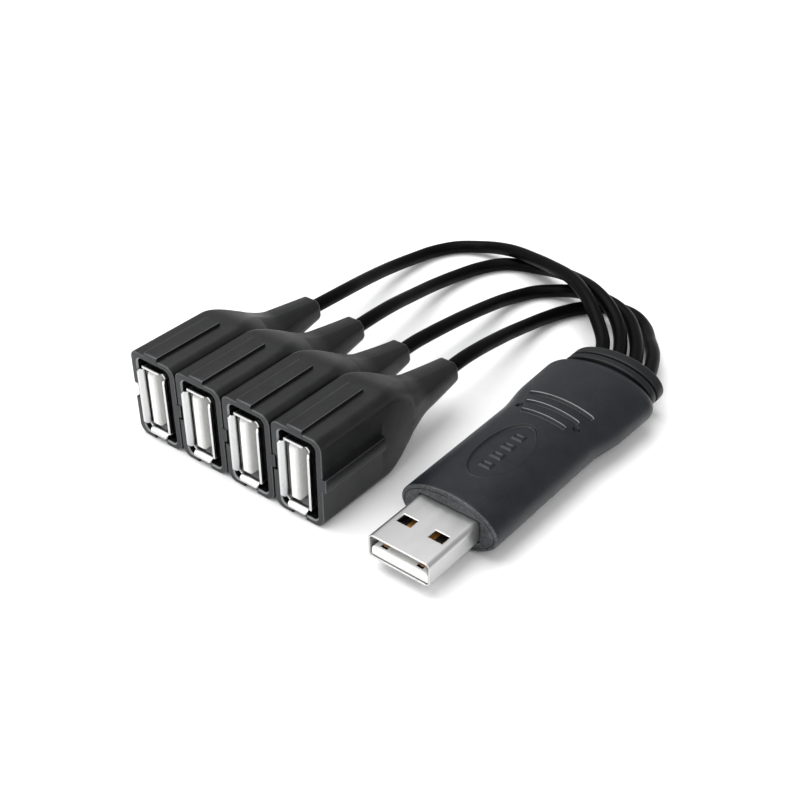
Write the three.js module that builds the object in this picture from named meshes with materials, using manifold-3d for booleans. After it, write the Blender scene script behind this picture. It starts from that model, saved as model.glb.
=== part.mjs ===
// A USB hub: an oval moulded body with a USB-A plug at its front and four thin cables out of its rear.
// Each cable ends in a boot that holds a USB-A socket on edge. The four boots stand side by side, and
// the rib on one boot's flank slides in the groove of the next.
// Units are millimetres. +Z is up, the plug and the sockets face -Y, and the sockets run along +X.
// The origin is on the table, under the middle of everything but the cables.
import * as THREE from "three";
import { mergeVertices } from "three/addons/utils/BufferGeometryUtils.js";
import Module from "manifold-3d";

const wasm = await Module();
wasm.setup();

// ---- driving dimensions ----

const GAP = 0.3; // clearance between neighbouring pieces
const CLOSE_GAP = 0.12; // clearance round the small metal pieces

// USB-A plug and receptacle
const SHEET = 0.3; // thickness of the steel shells
const PLUG_WIDTH = 12.0;
const PLUG_HEIGHT = 4.5;
const PLUG_CORNER = 0.9; // outer radius of the shell's folds
const PLUG_EXPOSED = 12.7; // how far the plug stands out of the hub
const PLUG_BURIED = 6.0; // length of the plug's shell inside the hub
const CARRIER_THICKNESS = 1.95; // white insulator in the plug
const CARRIER_CHAMFER = 0.85; // along its upper edges
const WINDOW_X = 3.1; // latch windows, each side of the middle
const WINDOW_FRONT = 5.2; // from the plug's front edge
const WINDOW = [2.7, 2.0]; // width and length
const CONTACT_PITCH = [-3.5, -1.0, 1.0, 3.5];
const RECEPTACLE_WIDTH = 12.5; // inside, the long way, which stands upright here
const RECEPTACLE_HEIGHT = 5.12; // inside, the short way
const RECEPTACLE_DEPTH = 14.5;
const LIP_FLARE = 0.6; // how far each lip leans out
const LIP_LENGTH = 0.95;
const LIP_PROUD = 0.35; // the lips stand this far out of the boot's mouth
const TONGUE_THICKNESS = 1.84;
const TONGUE_HEIGHT = 11.1;
const TONGUE_OFFSET = -0.74; // the tongue is off the shell's middle, towards -X
const TONGUE_RECESS = 0.6; // behind the lips
const TONGUE_LENGTH = 10.05;

// hub body
const HUB_LENGTH = 53.4; // front plate to the rear of the collar
const SLEEVE_LENGTH = 47.9;
const FLARE = [28, 37.5]; // where the sleeve widens from its front width to its rear width
const SHOULDER_START = 45.2; // where the sleeve begins to round in at its rear
const SHOULDER_DEPTH = 1.6;
const AXIS_Z = 4.75; // height of the hub's middle plane
const HUB_HALF_HEIGHT = 4.95; // before the underside is cut flat
const HUB_FRONT_HALF = 9.55;
const HUB_REAR_HALF = 11.2;
const FRONT_TAPER = 0.15; // the sleeve widens by this much from its front to its waist
const FRONT_EDGE = [0.35, 0.6]; // depth and length of the rounding at the sleeve's front
const SLEEVE_WALL = 1.3;
const FRONT_SEAT = 1.9; // depth of the seat for the front plate

// socket boots
const SOCKETS = 4;
const BOOT_WIDTH = 10.8;
const BOOT_HEIGHT = 17.5;
const BOOT_PITCH = 11.1;
const BOOT_LENGTH = 41.2;
const BOOT_STRAIGHT = 16.6; // length of the full section
const BOOT_SLEEVE = 30.5; // where the taper has become round
const CONE_START = 24; // the round rear part narrows from here to the boot's rear
const CONE_RADII = [4.75, 2.5];
const BOOT_DROOP = [0, 0.4, 1.3, 0.75]; // how far the rear of each soft boot sags
const DROOP_START = 20;
const BOOT_CORNER = 2.0;
const BOOT_CREST_CORNER = 1.3; // the tighter corner between the top and the -X flank
const BOOT_RIM = 0.9; // rounding of the boot's rear edge
const CAVITY = [7.9, 15.3, 24.6]; // width, height and depth of the boot's hollow
const DEEP_CAVITY = [5.6, 9.0]; // width and height of the hollow's narrow rear part
const CAVITY_CORNER = 1;
const CAVITY_SHIFT = 0.1; // the hollow is off the boot's middle, towards +X
const SHELL_SHIFT = -0.4; // the receptacle is off the boot's middle, towards -X
const SHELL_DROP = 0.35; // and this far below it
const RIB_LENGTH = 15.2;
const TOP_RIB_WIDTH = 3.2;
const TOP_RIB_SHIFT = -0.15; // the top rib is off the boot's middle, towards -X
const FLANK_RIB_WIDTH = 2.6;
const RIB_PROUD = 0.75;
const FLANK_RIB_Z = 9.2;
const GROOVE_WIDTH = 3.1;
const GROOVE_DEPTH = 0.85;
const MOUTH_BEHIND_PLUG = 2.3; // the boots' mouths are this far behind the plug's front edge

// cables
const CABLE_DIAMETER = 2.75;
const CABLE_STEP = 2.8; // length of one step of a cable's tube
const COLLAR_PITCH = 3.4; // spacing of the cables in the collar

// ---- places worked out from the above ----

const OVERALL_WIDTH = 72.6;
const OVERALL_DEPTH = PLUG_EXPOSED + HUB_LENGTH;
const PLUG_FRONT_Y = -OVERALL_DEPTH / 2;
const HUB_FRONT_Y = PLUG_FRONT_Y + PLUG_EXPOSED;
const HUB_REAR_Y = OVERALL_DEPTH / 2;
const HUB_X = OVERALL_WIDTH / 2 - HUB_REAR_HALF;
const MOUTH_Y = PLUG_FRONT_Y + MOUTH_BEHIND_PLUG;
const FIRST_BOOT_X = -OVERALL_WIDTH / 2 + BOOT_WIDTH / 2;
const BOOT_Z = BOOT_HEIGHT / 2;

// ---- materials ----

const finish = (color, roughness, metalness = 0) =>
  new THREE.MeshStandardMaterial({ color, roughness, metalness });
const SLEEVE_PVC = finish(0x33383d, 0.55);
const BOOT_PVC = finish(0x3c3e40, 0.6);
const CABLE_PVC = finish(0x0c0c0d, 0.4);
const INNER_PE = finish(0x8a8c88, 0.6);
const STEEL = finish(0xc9cbcd, 0.28, 1);
const GOLD = finish(0xd0a24c, 0.3, 1);
const WHITE_PBT = finish(0xefefec, 0.5);
const BOARD = finish(0x1d5a34, 0.5);
const CHIP_EPOXY = finish(0x17181a, 0.6);
const TANTALUM = finish(0xc8862e, 0.5);

// ---- solids ----

// A closed three.js geometry as a manifold-3d solid.
function solid(geometry) {
  const bare = geometry.index ? geometry.toNonIndexed() : geometry.clone();
  bare.deleteAttribute("normal");
  bare.deleteAttribute("uv");
  const merged = mergeVertices(bare, 1e-4);
  return new wasm.Manifold(
    new wasm.Mesh({
      numProp: 3,
      vertProperties: merged.attributes.position.array,
      triVerts: new Uint32Array(merged.index.array),
    }),
  );
}

// A manifold-3d solid as a three.js geometry with flat-shaded faces.
function geometryOf(manifold) {
  const mesh = manifold.getMesh();
  const geometry = new THREE.BufferGeometry();
  geometry.setAttribute(
    "position",
    new THREE.BufferAttribute(new Float32Array(mesh.vertProperties), 3),
  );
  geometry.setIndex(new THREE.BufferAttribute(new Uint32Array(mesh.triVerts), 1));
  const flat = geometry.toNonIndexed();
  flat.computeVertexNormals();
  return flat;
}

// A box given by its low and high corners.
function box(low, high) {
  const size = low.map((v, i) => high[i] - v);
  return new THREE.BoxGeometry(...size).translate(...low.map((v, i) => v + size[i] / 2));
}

// A box with chamfered or rounded edges along Y: centre x and z, widths along X and Z, and corner radius.
function roundedBar(x, z, width, height, radius, y0, y1, cornerSteps = 3) {
  const ring = roundedRectangle(width / 2, height / 2, radius, cornerSteps);
  return loft([
    { y: y0, x, z, ring },
    { y: y1, x, z, ring },
  ]);
}

// Points of a rounded rectangle, anticlockwise in X and Z. The top corner towards -X may differ.
function roundedRectangle(halfWidth, halfHeight, usual, cornerSteps = 6, topLeft = usual) {
  const points = [];
  for (let corner = 0; corner < 4; corner++) {
    const signX = corner === 0 || corner === 3 ? 1 : -1;
    const signZ = corner < 2 ? 1 : -1;
    const radius = corner === 1 ? topLeft : usual;
    for (let i = 0; i <= cornerSteps; i++) {
      const angle = (corner + i / cornerSteps) * (Math.PI / 2);
      points.push([
        signX * (halfWidth - radius) + radius * Math.cos(angle),
        signZ * (halfHeight - radius) + radius * Math.sin(angle),
      ]);
    }
  }
  return points;
}

// Points of an ellipse, anticlockwise in X and Z.
function ellipse(halfWidth, halfHeight, steps = 40) {
  return Array.from({ length: steps }, (_, i) => {
    const angle = (i / steps) * 2 * Math.PI;
    return [halfWidth * Math.cos(angle), halfHeight * Math.sin(angle)];
  });
}

// A closed body through convex rings with equal numbers of points, in order of rising y.
function loft(stations) {
  const count = stations[0].ring.length;
  const positions = stations.flatMap(({ y, x = 0, z = 0, ring }) =>
    ring.flatMap(([px, pz]) => [x + px, y, z + pz]),
  );
  const index = [];
  for (let s = 0; s + 1 < stations.length; s++) {
    for (let i = 0; i < count; i++) {
      const a = s * count + i;
      const b = s * count + ((i + 1) % count);
      index.push(a, a + count, b, b, a + count, b + count);
    }
  }
  const last = (stations.length - 1) * count;
  for (let i = 1; i + 1 < count; i++) {
    index.push(0, i, i + 1);
    index.push(last, last + i + 1, last + i);
  }
  const geometry = new THREE.BufferGeometry();
  geometry.setAttribute("position", new THREE.Float32BufferAttribute(positions, 3));
  geometry.setIndex(index);
  return geometry.toNonIndexed();
}

const smoothstep = (t) => t * t * (3 - 2 * t);
const mix = (a, b, t) => a + (b - a) * t;
const ramp = (v, from, to) => Math.min(1, Math.max(0, (v - from) / (to - from)));

const part = new THREE.Group();

function addMesh(name, geometry, material) {
  const mesh = new THREE.Mesh(geometry, material);
  mesh.name = name;
  part.add(mesh);
}

// ---- hub body ----

// Half-width of the sleeve at a distance behind its front: straight, then a waist that flares to the rear.
function sleeveHalfWidth(t) {
  const flare = smoothstep(ramp(t, ...FLARE));
  const rear = mix(HUB_REAR_HALF - 0.3, HUB_REAR_HALF, ramp(t, FLARE[1], SHOULDER_START));
  return mix(HUB_FRONT_HALF + FRONT_TAPER * ramp(t, 0, FLARE[0]), rear, flare);
}

// How far the sleeve's ends round in: a small front edge and a deep rear shoulder.
function sleeveRounding(t) {
  const front = FRONT_EDGE[0] * (1 - Math.sqrt(1 - (1 - ramp(t, 0, FRONT_EDGE[1])) ** 2));
  const rear = SHOULDER_DEPTH * (1 - Math.sqrt(1 - ramp(t, SHOULDER_START, SLEEVE_LENGTH) ** 2));
  return front + rear;
}

const SLEEVE_STATIONS = [
  0, 0.15, FRONT_EDGE[1], 10, 20, FLARE[0], 30, 32, 34, 36, 38, 41,
  SHOULDER_START, 46.3, 47.1, 47.6, 47.85, SLEEVE_LENGTH,
];

function sleeveOuter() {
  return loft(
    SLEEVE_STATIONS.map((t) => {
      const inset = sleeveRounding(t);
      const ring = ellipse(sleeveHalfWidth(t) - inset, HUB_HALF_HEIGHT - inset * 0.7);
      return { y: HUB_FRONT_Y + t, x: HUB_X, z: AXIS_Z, ring };
    }),
  );
}

// A straight oval bar along the hub's axis.
function ovalBar(halfWidth, halfHeight, t0, t1, steps = 32) {
  const ring = ellipse(halfWidth, halfHeight, steps);
  const place = { x: HUB_X, z: AXIS_Z, ring };
  return loft([
    { y: HUB_FRONT_Y + t0, ...place },
    { y: HUB_FRONT_Y + t1, ...place },
  ]);
}

const FRONT_RIM = 0.75; // thickness of the sleeve round the front plate
const HOLLOW_HALF = [HUB_FRONT_HALF - SLEEVE_WALL, HUB_HALF_HEIGHT - SLEEVE_WALL];
const SEAT_HALF = [HUB_FRONT_HALF - FRONT_RIM, HUB_HALF_HEIGHT - FRONT_RIM];
const REACH = 20; // how far a cutter runs past what it cuts

// Top of the sleeve at a distance from the hub's axis.
function sleeveTop(t, x) {
  const half = sleeveHalfWidth(t);
  return AXIS_Z + HUB_HALF_HEIGHT * Math.sqrt(1 - (x / half) ** 2);
}

const OVAL_T = 15.0; // middle of the oval recess
const OVAL_HALF = [4.0, 8.4]; // half its width and length
const RECESS_DEPTH = 0.35;

// The cutter for the oval recess: its floor follows the crown's curve.
function ovalRecess() {
  const steps = 28;
  const rings = [-RECESS_DEPTH, 1.5].map((lift) =>
    Array.from({ length: steps }, (_, i) => {
      const angle = (i / steps) * 2 * Math.PI;
      const x = OVAL_HALF[0] * Math.cos(angle);
      const t = OVAL_T + OVAL_HALF[1] * Math.sin(angle);
      return [HUB_X + x, HUB_FRONT_Y + t, sleeveTop(t, x) + lift];
    }),
  );
  const floor = [HUB_X, HUB_FRONT_Y + OVAL_T, sleeveTop(OVAL_T, 0) - RECESS_DEPTH];
  const roof = [HUB_X, HUB_FRONT_Y + OVAL_T, sleeveTop(OVAL_T, 0) + 1.5];
  const positions = [...rings[0], ...rings[1], floor, roof].flat();
  const index = [];
  for (let i = 0; i < steps; i++) {
    const j = (i + 1) % steps;
    index.push(i, j, steps + j, i, steps + j, steps + i);
    index.push(2 * steps, j, i);
    index.push(2 * steps + 1, steps + i, steps + j);
  }
  const geometry = new THREE.BufferGeometry();
  geometry.setAttribute("position", new THREE.Float32BufferAttribute(positions, 3));
  geometry.setIndex(index);
  return geometry;
}

// The three curved ridges: distance behind the front, and half-length.
const RIDGES = [
  [27.1, 4.6],
  [30.0, 5.5],
  [33.0, 6.6],
];
const RIDGE_PROUD = 0.3;
const RIDGE_HALF_WIDTH = 0.35;
const RIDGE_CREST = 0.6; // width of a ridge's crest as a share of its foot
const RIDGE_DEPTH = 0.8; // from a ridge's crest to its foot inside the sleeve

function ridge(t, halfLength) {
  const steps = 8;
  const stations = Array.from({ length: steps + 1 }, (_, i) => {
    const x = mix(-halfLength, halfLength, i / steps);
    const top = sleeveTop(t, x) + RIDGE_PROUD;
    return [x, top];
  });
  const positions = stations.flatMap(([x, top]) => [
    ...[HUB_X + x, HUB_FRONT_Y + t - RIDGE_HALF_WIDTH, top - RIDGE_DEPTH],
    ...[HUB_X + x, HUB_FRONT_Y + t + RIDGE_HALF_WIDTH, top - RIDGE_DEPTH],
    ...[HUB_X + x, HUB_FRONT_Y + t + RIDGE_HALF_WIDTH * RIDGE_CREST, top],
    ...[HUB_X + x, HUB_FRONT_Y + t - RIDGE_HALF_WIDTH * RIDGE_CREST, top],
  ]);
  const index = [];
  for (let s = 0; s < steps; s++) {
    for (let k = 0; k < 4; k++) {
      const a = 4 * s + k;
      const b = 4 * s + ((k + 1) % 4);
      index.push(a, b, a + 4, b, b + 4, a + 4);
    }
  }
  const last = 4 * steps;
  index.push(0, 2, 1, 0, 3, 2);
  index.push(last, last + 1, last + 2, last, last + 2, last + 3);
  const geometry = new THREE.BufferGeometry();
  geometry.setAttribute("position", new THREE.Float32BufferAttribute(positions, 3));
  geometry.setIndex(index);
  return geometry;
}

// The two small pits beside the ridges.
const PIT_T = 28.5;
const PIT_X = 5.8;
const PIT_RADII = [0.6, 0.5]; // at its mouth and at its floor
const PIT_FLOOR = 0.75; // below the crown
const PIT_HEIGHT = 2.4;

function pit(x) {
  const top = sleeveTop(PIT_T, x);
  return new THREE.CylinderGeometry(...PIT_RADII, PIT_HEIGHT, 10)
    .rotateX(Math.PI / 2)
    .translate(HUB_X + x, HUB_FRONT_Y + PIT_T, top - PIT_FLOOR + PIT_HEIGHT / 2);
}

function hubSleeve() {
  const underside = box(
    [HUB_X - REACH, HUB_FRONT_Y - REACH, -REACH],
    [HUB_X + REACH, HUB_REAR_Y + REACH, 0],
  );
  let body = solid(sleeveOuter()).subtract(solid(underside));
  for (const [t, halfLength] of RIDGES) body = body.add(solid(ridge(t, halfLength)));
  body = body.subtract(solid(ovalRecess()));
  for (const x of [-PIT_X, PIT_X]) body = body.subtract(solid(pit(x)));
  const seat = ovalBar(...SEAT_HALF, -1, FRONT_SEAT, 40);
  const hollow = ovalBar(...HOLLOW_HALF, FRONT_SEAT - 0.5, SLEEVE_LENGTH + 1);
  return geometryOf(body.subtract(solid(seat)).subtract(solid(hollow)));
}

const PLATE_GAP = 0.2; // between the plate and the rim
const PLATE_SET_BACK = 0.25; // of the plate's face behind the rim

// The plate in the sleeve's front rim, with an opening for the plug.
function hubFrontPlate() {
  const half = SEAT_HALF.map((v) => v - PLATE_GAP);
  const plate = ovalBar(...half, PLATE_SET_BACK, FRONT_SEAT - GAP, 40);
  const opening = roundedBar(
    HUB_X, AXIS_Z, PLUG_WIDTH + 2 * CLOSE_GAP, PLUG_HEIGHT + 2 * CLOSE_GAP, 0.6,
    HUB_FRONT_Y - 1, HUB_FRONT_Y + FRONT_SEAT + 1,
  );
  return geometryOf(solid(plate).subtract(solid(opening)));
}

// The rear strain relief: a tenon inside the sleeve, and two oval rings with a groove before each.
const COLLAR_NECK = [8.6, 3.9]; // half-width and half-height in the grooves
const COLLAR_RING = [9.6, 4.65];
const COLLAR_END = [8.8, 4.0]; // of the rear face
const COLLAR_TENON_FRONT = 44.4;

function hubCollar() {
  const tenon = [HOLLOW_HALF[0] - GAP, HOLLOW_HALF[1] - GAP];
  const rings = [
    [COLLAR_TENON_FRONT, tenon],
    [SLEEVE_LENGTH + 0.1, tenon],
    [SLEEVE_LENGTH + 0.2, COLLAR_NECK],
    [SLEEVE_LENGTH + 0.7, COLLAR_NECK],
    [SLEEVE_LENGTH + 0.8, COLLAR_RING],
    [SLEEVE_LENGTH + 2.3, COLLAR_RING],
    [SLEEVE_LENGTH + 2.4, COLLAR_NECK],
    [SLEEVE_LENGTH + 2.9, COLLAR_NECK],
    [SLEEVE_LENGTH + 3.0, COLLAR_RING],
    [HUB_LENGTH - 0.9, COLLAR_RING],
    [HUB_LENGTH - 0.35, [COLLAR_RING[0] - 0.25, COLLAR_RING[1] - 0.25]],
    [HUB_LENGTH, COLLAR_END],
  ];
  return loft(
    rings.map(([t, half]) => ({
      y: HUB_FRONT_Y + t,
      x: HUB_X,
      z: AXIS_Z,
      ring: ellipse(...half, 32),
    })),
  );
}

// ---- inside the hub ----

const BOARD_HALF_WIDTH = 6.2;
const BOARD_TOP = AXIS_Z - 0.3;
const BOARD_THICKNESS = 1.0;
const BOARD_T = [7.2, 42]; // front and rear of the circuit board
const MOULD_REAR = COLLAR_TENON_FRONT - GAP;
const CHIP = { x: 0, t: 22, size: [6.0, 5.0, 1.3] };
const CRYSTAL = { x: -1.2, t: 30, size: [3.2, 5.0, 1.2] };
const CAPACITORS = [
  { x: 2.6, t: 30, size: [1.6, 3.2, 1.5] },
  { x: -2.6, t: 14.5, size: [1.6, 3.2, 1.5] },
];
const PARTS_HALF_WIDTH = 4.4; // of the channel over the board for the parts on it
const PARTS_HEIGHT = 1.9;

// A part soldered on top of the board.
function onBoard({ x, t, size }) {
  const [width, length, height] = size;
  const z = BOARD_TOP + CLOSE_GAP;
  return box(
    [HUB_X + x - width / 2, HUB_FRONT_Y + t - length / 2, z],
    [HUB_X + x + width / 2, HUB_FRONT_Y + t + length / 2, z + height],
  );
}

function hubBoard() {
  return box(
    [HUB_X - BOARD_HALF_WIDTH, HUB_FRONT_Y + BOARD_T[0], BOARD_TOP - BOARD_THICKNESS],
    [HUB_X + BOARD_HALF_WIDTH, HUB_FRONT_Y + BOARD_T[1], BOARD_TOP],
  );
}

// The potting block, open at both ends along the board and its parts.
function hubInnerMould() {
  const block = ovalBar(
    HOLLOW_HALF[0] - GAP, HOLLOW_HALF[1] - GAP, PLUG_BURIED + 2 * GAP, MOULD_REAR,
  );
  const boardSlot = box(
    [HUB_X - BOARD_HALF_WIDTH - GAP, HUB_FRONT_Y, BOARD_TOP - BOARD_THICKNESS - GAP],
    [HUB_X + BOARD_HALF_WIDTH + GAP, HUB_REAR_Y, BOARD_TOP + GAP],
  );
  const partsSlot = box(
    [HUB_X - PARTS_HALF_WIDTH, HUB_FRONT_Y, BOARD_TOP - GAP],
    [HUB_X + PARTS_HALF_WIDTH, HUB_REAR_Y, BOARD_TOP + PARTS_HEIGHT],
  );
  return geometryOf(solid(block).subtract(solid(boardSlot)).subtract(solid(partsSlot)));
}

// ---- plug ----

function plugShell() {
  const y0 = PLUG_FRONT_Y;
  const y1 = HUB_FRONT_Y + PLUG_BURIED;
  const outer = roundedBar(HUB_X, AXIS_Z, PLUG_WIDTH, PLUG_HEIGHT, PLUG_CORNER, y0, y1);
  const inside = roundedBar(
    HUB_X, AXIS_Z, PLUG_WIDTH - 2 * SHEET, PLUG_HEIGHT - 2 * SHEET, PLUG_CORNER - SHEET, y0 - 1, y1 + 1,
  );
  let shell = solid(outer).subtract(solid(inside));
  for (const side of [-1, 1]) {
    const x = HUB_X + side * WINDOW_X;
    const window = box(
      [x - WINDOW[0] / 2, y0 + WINDOW_FRONT, AXIS_Z - PLUG_HEIGHT],
      [x + WINDOW[0] / 2, y0 + WINDOW_FRONT + WINDOW[1], AXIS_Z + PLUG_HEIGHT],
    );
    shell = shell.subtract(solid(window));
  }
  return geometryOf(shell);
}

const CONTACT_WIDTH = 1.0;
const CONTACT_THICKNESS = 0.25;
const CARRIER_BOTTOM = AXIS_Z - PLUG_HEIGHT / 2 + SHEET + CLOSE_GAP;
const CARRIER_TOP = CARRIER_BOTTOM + CARRIER_THICKNESS;
const CARRIER_FRONT = PLUG_FRONT_Y + 0.3;
const CONTACT_SET_BACK = [2.2, 1.2]; // of the inner and outer contacts behind the carrier's front
const CONTACT_POCKET = 0.6; // open slot in front of each contact
const CONTACT_ON_BOARD = 2.4; // length of a contact's foot over the board

// The outer two contacts start nearer the plug's front than the inner two.
const plugContactFront = (x) => CARRIER_FRONT + CONTACT_SET_BACK[Math.abs(x) > 2 ? 1 : 0];

function plugContact(x) {
  const z = CARRIER_TOP - CONTACT_THICKNESS;
  return box(
    [HUB_X + x - CONTACT_WIDTH / 2, plugContactFront(x), z],
    [HUB_X + x + CONTACT_WIDTH / 2, HUB_FRONT_Y + BOARD_T[0] + CONTACT_ON_BOARD, CARRIER_TOP],
  );
}

// The white carrier, with a slot for each contact and a small pocket at the slot's front end.
function plugInsulator() {
  const half = PLUG_WIDTH / 2 - SHEET - CLOSE_GAP;
  const foot = CARRIER_CHAMFER / 4;
  const ring = [
    [-half + foot, CARRIER_BOTTOM],
    [half - foot, CARRIER_BOTTOM],
    [half, CARRIER_BOTTOM + foot],
    [half, CARRIER_TOP - CARRIER_CHAMFER],
    [half - CARRIER_CHAMFER, CARRIER_TOP],
    [-half + CARRIER_CHAMFER, CARRIER_TOP],
    [-half, CARRIER_TOP - CARRIER_CHAMFER],
    [-half, CARRIER_BOTTOM + foot],
  ];
  let body = solid(
    loft([
      { y: CARRIER_FRONT, x: HUB_X, ring },
      { y: HUB_FRONT_Y + PLUG_BURIED - 0.5, x: HUB_X, ring },
    ]),
  );
  for (const x of CONTACT_PITCH) {
    const reach = CONTACT_WIDTH / 2 + CLOSE_GAP;
    const slot = box(
      [
        HUB_X + x - reach,
        plugContactFront(x) - CONTACT_POCKET,
        CARRIER_TOP - CONTACT_THICKNESS - CLOSE_GAP,
      ],
      [HUB_X + x + reach, HUB_FRONT_Y + PLUG_BURIED + 1, CARRIER_TOP + 1],
    );
    body = body.subtract(solid(slot));
  }
  return geometryOf(body);
}

// ---- sockets ----

const bootX = (n) => FIRST_BOOT_X + n * BOOT_PITCH;

// Half-width, half-height and corner radii of the boot at a distance behind its mouth.
function bootSection(t) {
  const taper = smoothstep(ramp(t, BOOT_STRAIGHT, BOOT_SLEEVE));
  const cone = mix(...CONE_RADII, ramp(t, CONE_START, BOOT_LENGTH));
  const halfWidth = mix(BOOT_WIDTH / 2, cone, taper);
  const halfHeight = mix(BOOT_HEIGHT / 2, cone, taper);
  const end = BOOT_RIM * (1 - Math.sqrt(1 - ramp(t, BOOT_LENGTH - BOOT_RIM, BOOT_LENGTH) ** 2));
  const [usual, crest] = [BOOT_CORNER, BOOT_CREST_CORNER].map((radius) => {
    const corner = mix(radius, CONE_RADII[0], Math.min(1, 1.6 * taper));
    return Math.min(halfWidth - 0.01, corner) - end;
  });
  return { halfWidth: halfWidth - end, halfHeight: halfHeight - end, usual, crest };
}

function bootRing(t) {
  const { halfWidth, halfHeight, usual, crest } = bootSection(t);
  return roundedRectangle(halfWidth, halfHeight, usual, 5, crest);
}

const BOOT_STATIONS = [
  0, BOOT_STRAIGHT, 18, 19.4, 20.8, 22.2, 23.6, 25, 26.4, 27.8, 29.2, BOOT_SLEEVE, 33, 36.5,
  BOOT_LENGTH - BOOT_RIM, BOOT_LENGTH - 0.4, BOOT_LENGTH - 0.15, BOOT_LENGTH,
];

function bootSolid(n) {
  return loft(
    BOOT_STATIONS.map((t) => ({
      y: MOUTH_Y + t,
      x: bootX(n),
      z: BOOT_Z - BOOT_DROOP[n] * smoothstep(ramp(t, DROOP_START, BOOT_LENGTH)),
      ring: bootRing(t),
    })),
  );
}

// One boot: ribs on top and on the +X flank, grooves under it and on the -X flank, and a hollow.
function socketBoot(n) {
  const x = bootX(n);
  const half = BOOT_WIDTH / 2;
  const crown = x + TOP_RIB_SHIFT;
  const topRib = box(
    [crown - TOP_RIB_WIDTH / 2, MOUTH_Y, BOOT_HEIGHT - 1],
    [crown + TOP_RIB_WIDTH / 2, MOUTH_Y + RIB_LENGTH, BOOT_HEIGHT + RIB_PROUD],
  );
  const flankRib = box(
    [x + half - 1, MOUTH_Y, FLANK_RIB_Z - FLANK_RIB_WIDTH / 2],
    [x + half + RIB_PROUD, MOUTH_Y + RIB_LENGTH, FLANK_RIB_Z + FLANK_RIB_WIDTH / 2],
  );
  const underGroove = box(
    [x - GROOVE_WIDTH / 2, MOUTH_Y - 1, -1],
    [x + GROOVE_WIDTH / 2, MOUTH_Y + BOOT_SLEEVE, GROOVE_DEPTH],
  );
  const flankGroove = box(
    [x - half - 1, MOUTH_Y - 1, FLANK_RIB_Z - GROOVE_WIDTH / 2],
    [x - half + GROOVE_DEPTH, MOUTH_Y + BOOT_SLEEVE, FLANK_RIB_Z + GROOVE_WIDTH / 2],
  );
  const hollow = roundedBar(
    x + CAVITY_SHIFT, BOOT_Z, CAVITY[0], CAVITY[1], CAVITY_CORNER,
    MOUTH_Y - 1, MOUTH_Y + BOOT_STRAIGHT,
  );
  const deepHollow = roundedBar(
    x, BOOT_Z, ...DEEP_CAVITY, CAVITY_CORNER, MOUTH_Y + BOOT_STRAIGHT - 1, MOUTH_Y + CAVITY[2],
  );
  return geometryOf(
    solid(bootSolid(n))
      .add(solid(topRib))
      .add(solid(flankRib))
      .subtract(solid(underGroove))
      .subtract(solid(flankGroove))
      .subtract(solid(hollow))
      .subtract(solid(deepHollow)),
  );
}

// The pre-mould that fills the boot's hollow behind the receptacle.
function socketInnerMould(n) {
  const x = bootX(n);
  const mouldFront = SHELL_REAR_Y + SPRING_TAIL + GAP;
  const front = roundedBar(
    x + CAVITY_SHIFT, BOOT_Z, CAVITY[0] - 2 * GAP, CAVITY[1] - 2 * GAP, CAVITY_CORNER - GAP,
    mouldFront, MOUTH_Y + BOOT_STRAIGHT - GAP,
  );
  const rear = roundedBar(
    x, BOOT_Z, DEEP_CAVITY[0] - 2 * GAP, DEEP_CAVITY[1] - 2 * GAP, CAVITY_CORNER - GAP,
    mouldFront + GAP, MOUTH_Y + CAVITY[2] - GAP,
  );
  return geometryOf(solid(front).add(solid(rear)));
}

const SHELL_HALF = [RECEPTACLE_HEIGHT / 2 + SHEET, RECEPTACLE_WIDTH / 2 + SHEET];
const SHELL_FRONT_Y = MOUTH_Y - LIP_PROUD;
const SHELL_REAR_Y = MOUTH_Y + RECEPTACLE_DEPTH;
const SHELL_Z = BOOT_Z - SHELL_DROP;
const LIP_LENGTHS = [11.2, 3.9]; // of the upright lips, and of the top and bottom lips
const LIP_ROOT = 0.4; // how far a lip runs back along the shell's wall

// A lip of bent sheet at the shell's front: side is [1, 0], [-1, 0], [0, 1] or [0, -1].
function shellLip(x, [sx, sz]) {
  const upright = sx !== 0;
  const halfLength = LIP_LENGTHS[upright ? 0 : 1] / 2;
  const face = SHELL_HALF[upright ? 0 : 1];
  const profile = new THREE.Shape();
  profile.moveTo(face - SHEET, LIP_LENGTH + LIP_ROOT);
  profile.lineTo(face - SHEET, LIP_LENGTH);
  profile.lineTo(face - SHEET + LIP_FLARE, 0);
  profile.lineTo(face + LIP_FLARE, 0);
  profile.lineTo(face, LIP_LENGTH);
  profile.lineTo(face, LIP_LENGTH + LIP_ROOT);
  profile.closePath();
  const lip = new THREE.ExtrudeGeometry(profile, { depth: 2 * halfLength, bevelEnabled: false });
  lip.translate(0, 0, -halfLength);
  // turn the profile's outward direction towards the side
  lip.rotateY(Math.atan2(-sz, sx));
  return lip.translate(x, SHELL_FRONT_Y, SHELL_Z);
}

function socketShell(n) {
  const x = bootX(n) + SHELL_SHIFT;
  const bodyFront = SHELL_FRONT_Y + LIP_LENGTH;
  const outer = roundedBar(
    x, SHELL_Z, 2 * SHELL_HALF[0], 2 * SHELL_HALF[1], 0.9, bodyFront, SHELL_REAR_Y,
  );
  const inside = roundedBar(
    x, SHELL_Z, RECEPTACLE_HEIGHT, RECEPTACLE_WIDTH, 0.6, bodyFront - 1, SHELL_REAR_Y + 1,
  );
  let shell = solid(outer);
  for (const side of [[1, 0], [-1, 0], [0, 1], [0, -1]]) {
    shell = shell.add(solid(shellLip(x, side)));
  }
  return geometryOf(shell.subtract(solid(inside)));
}

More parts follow.
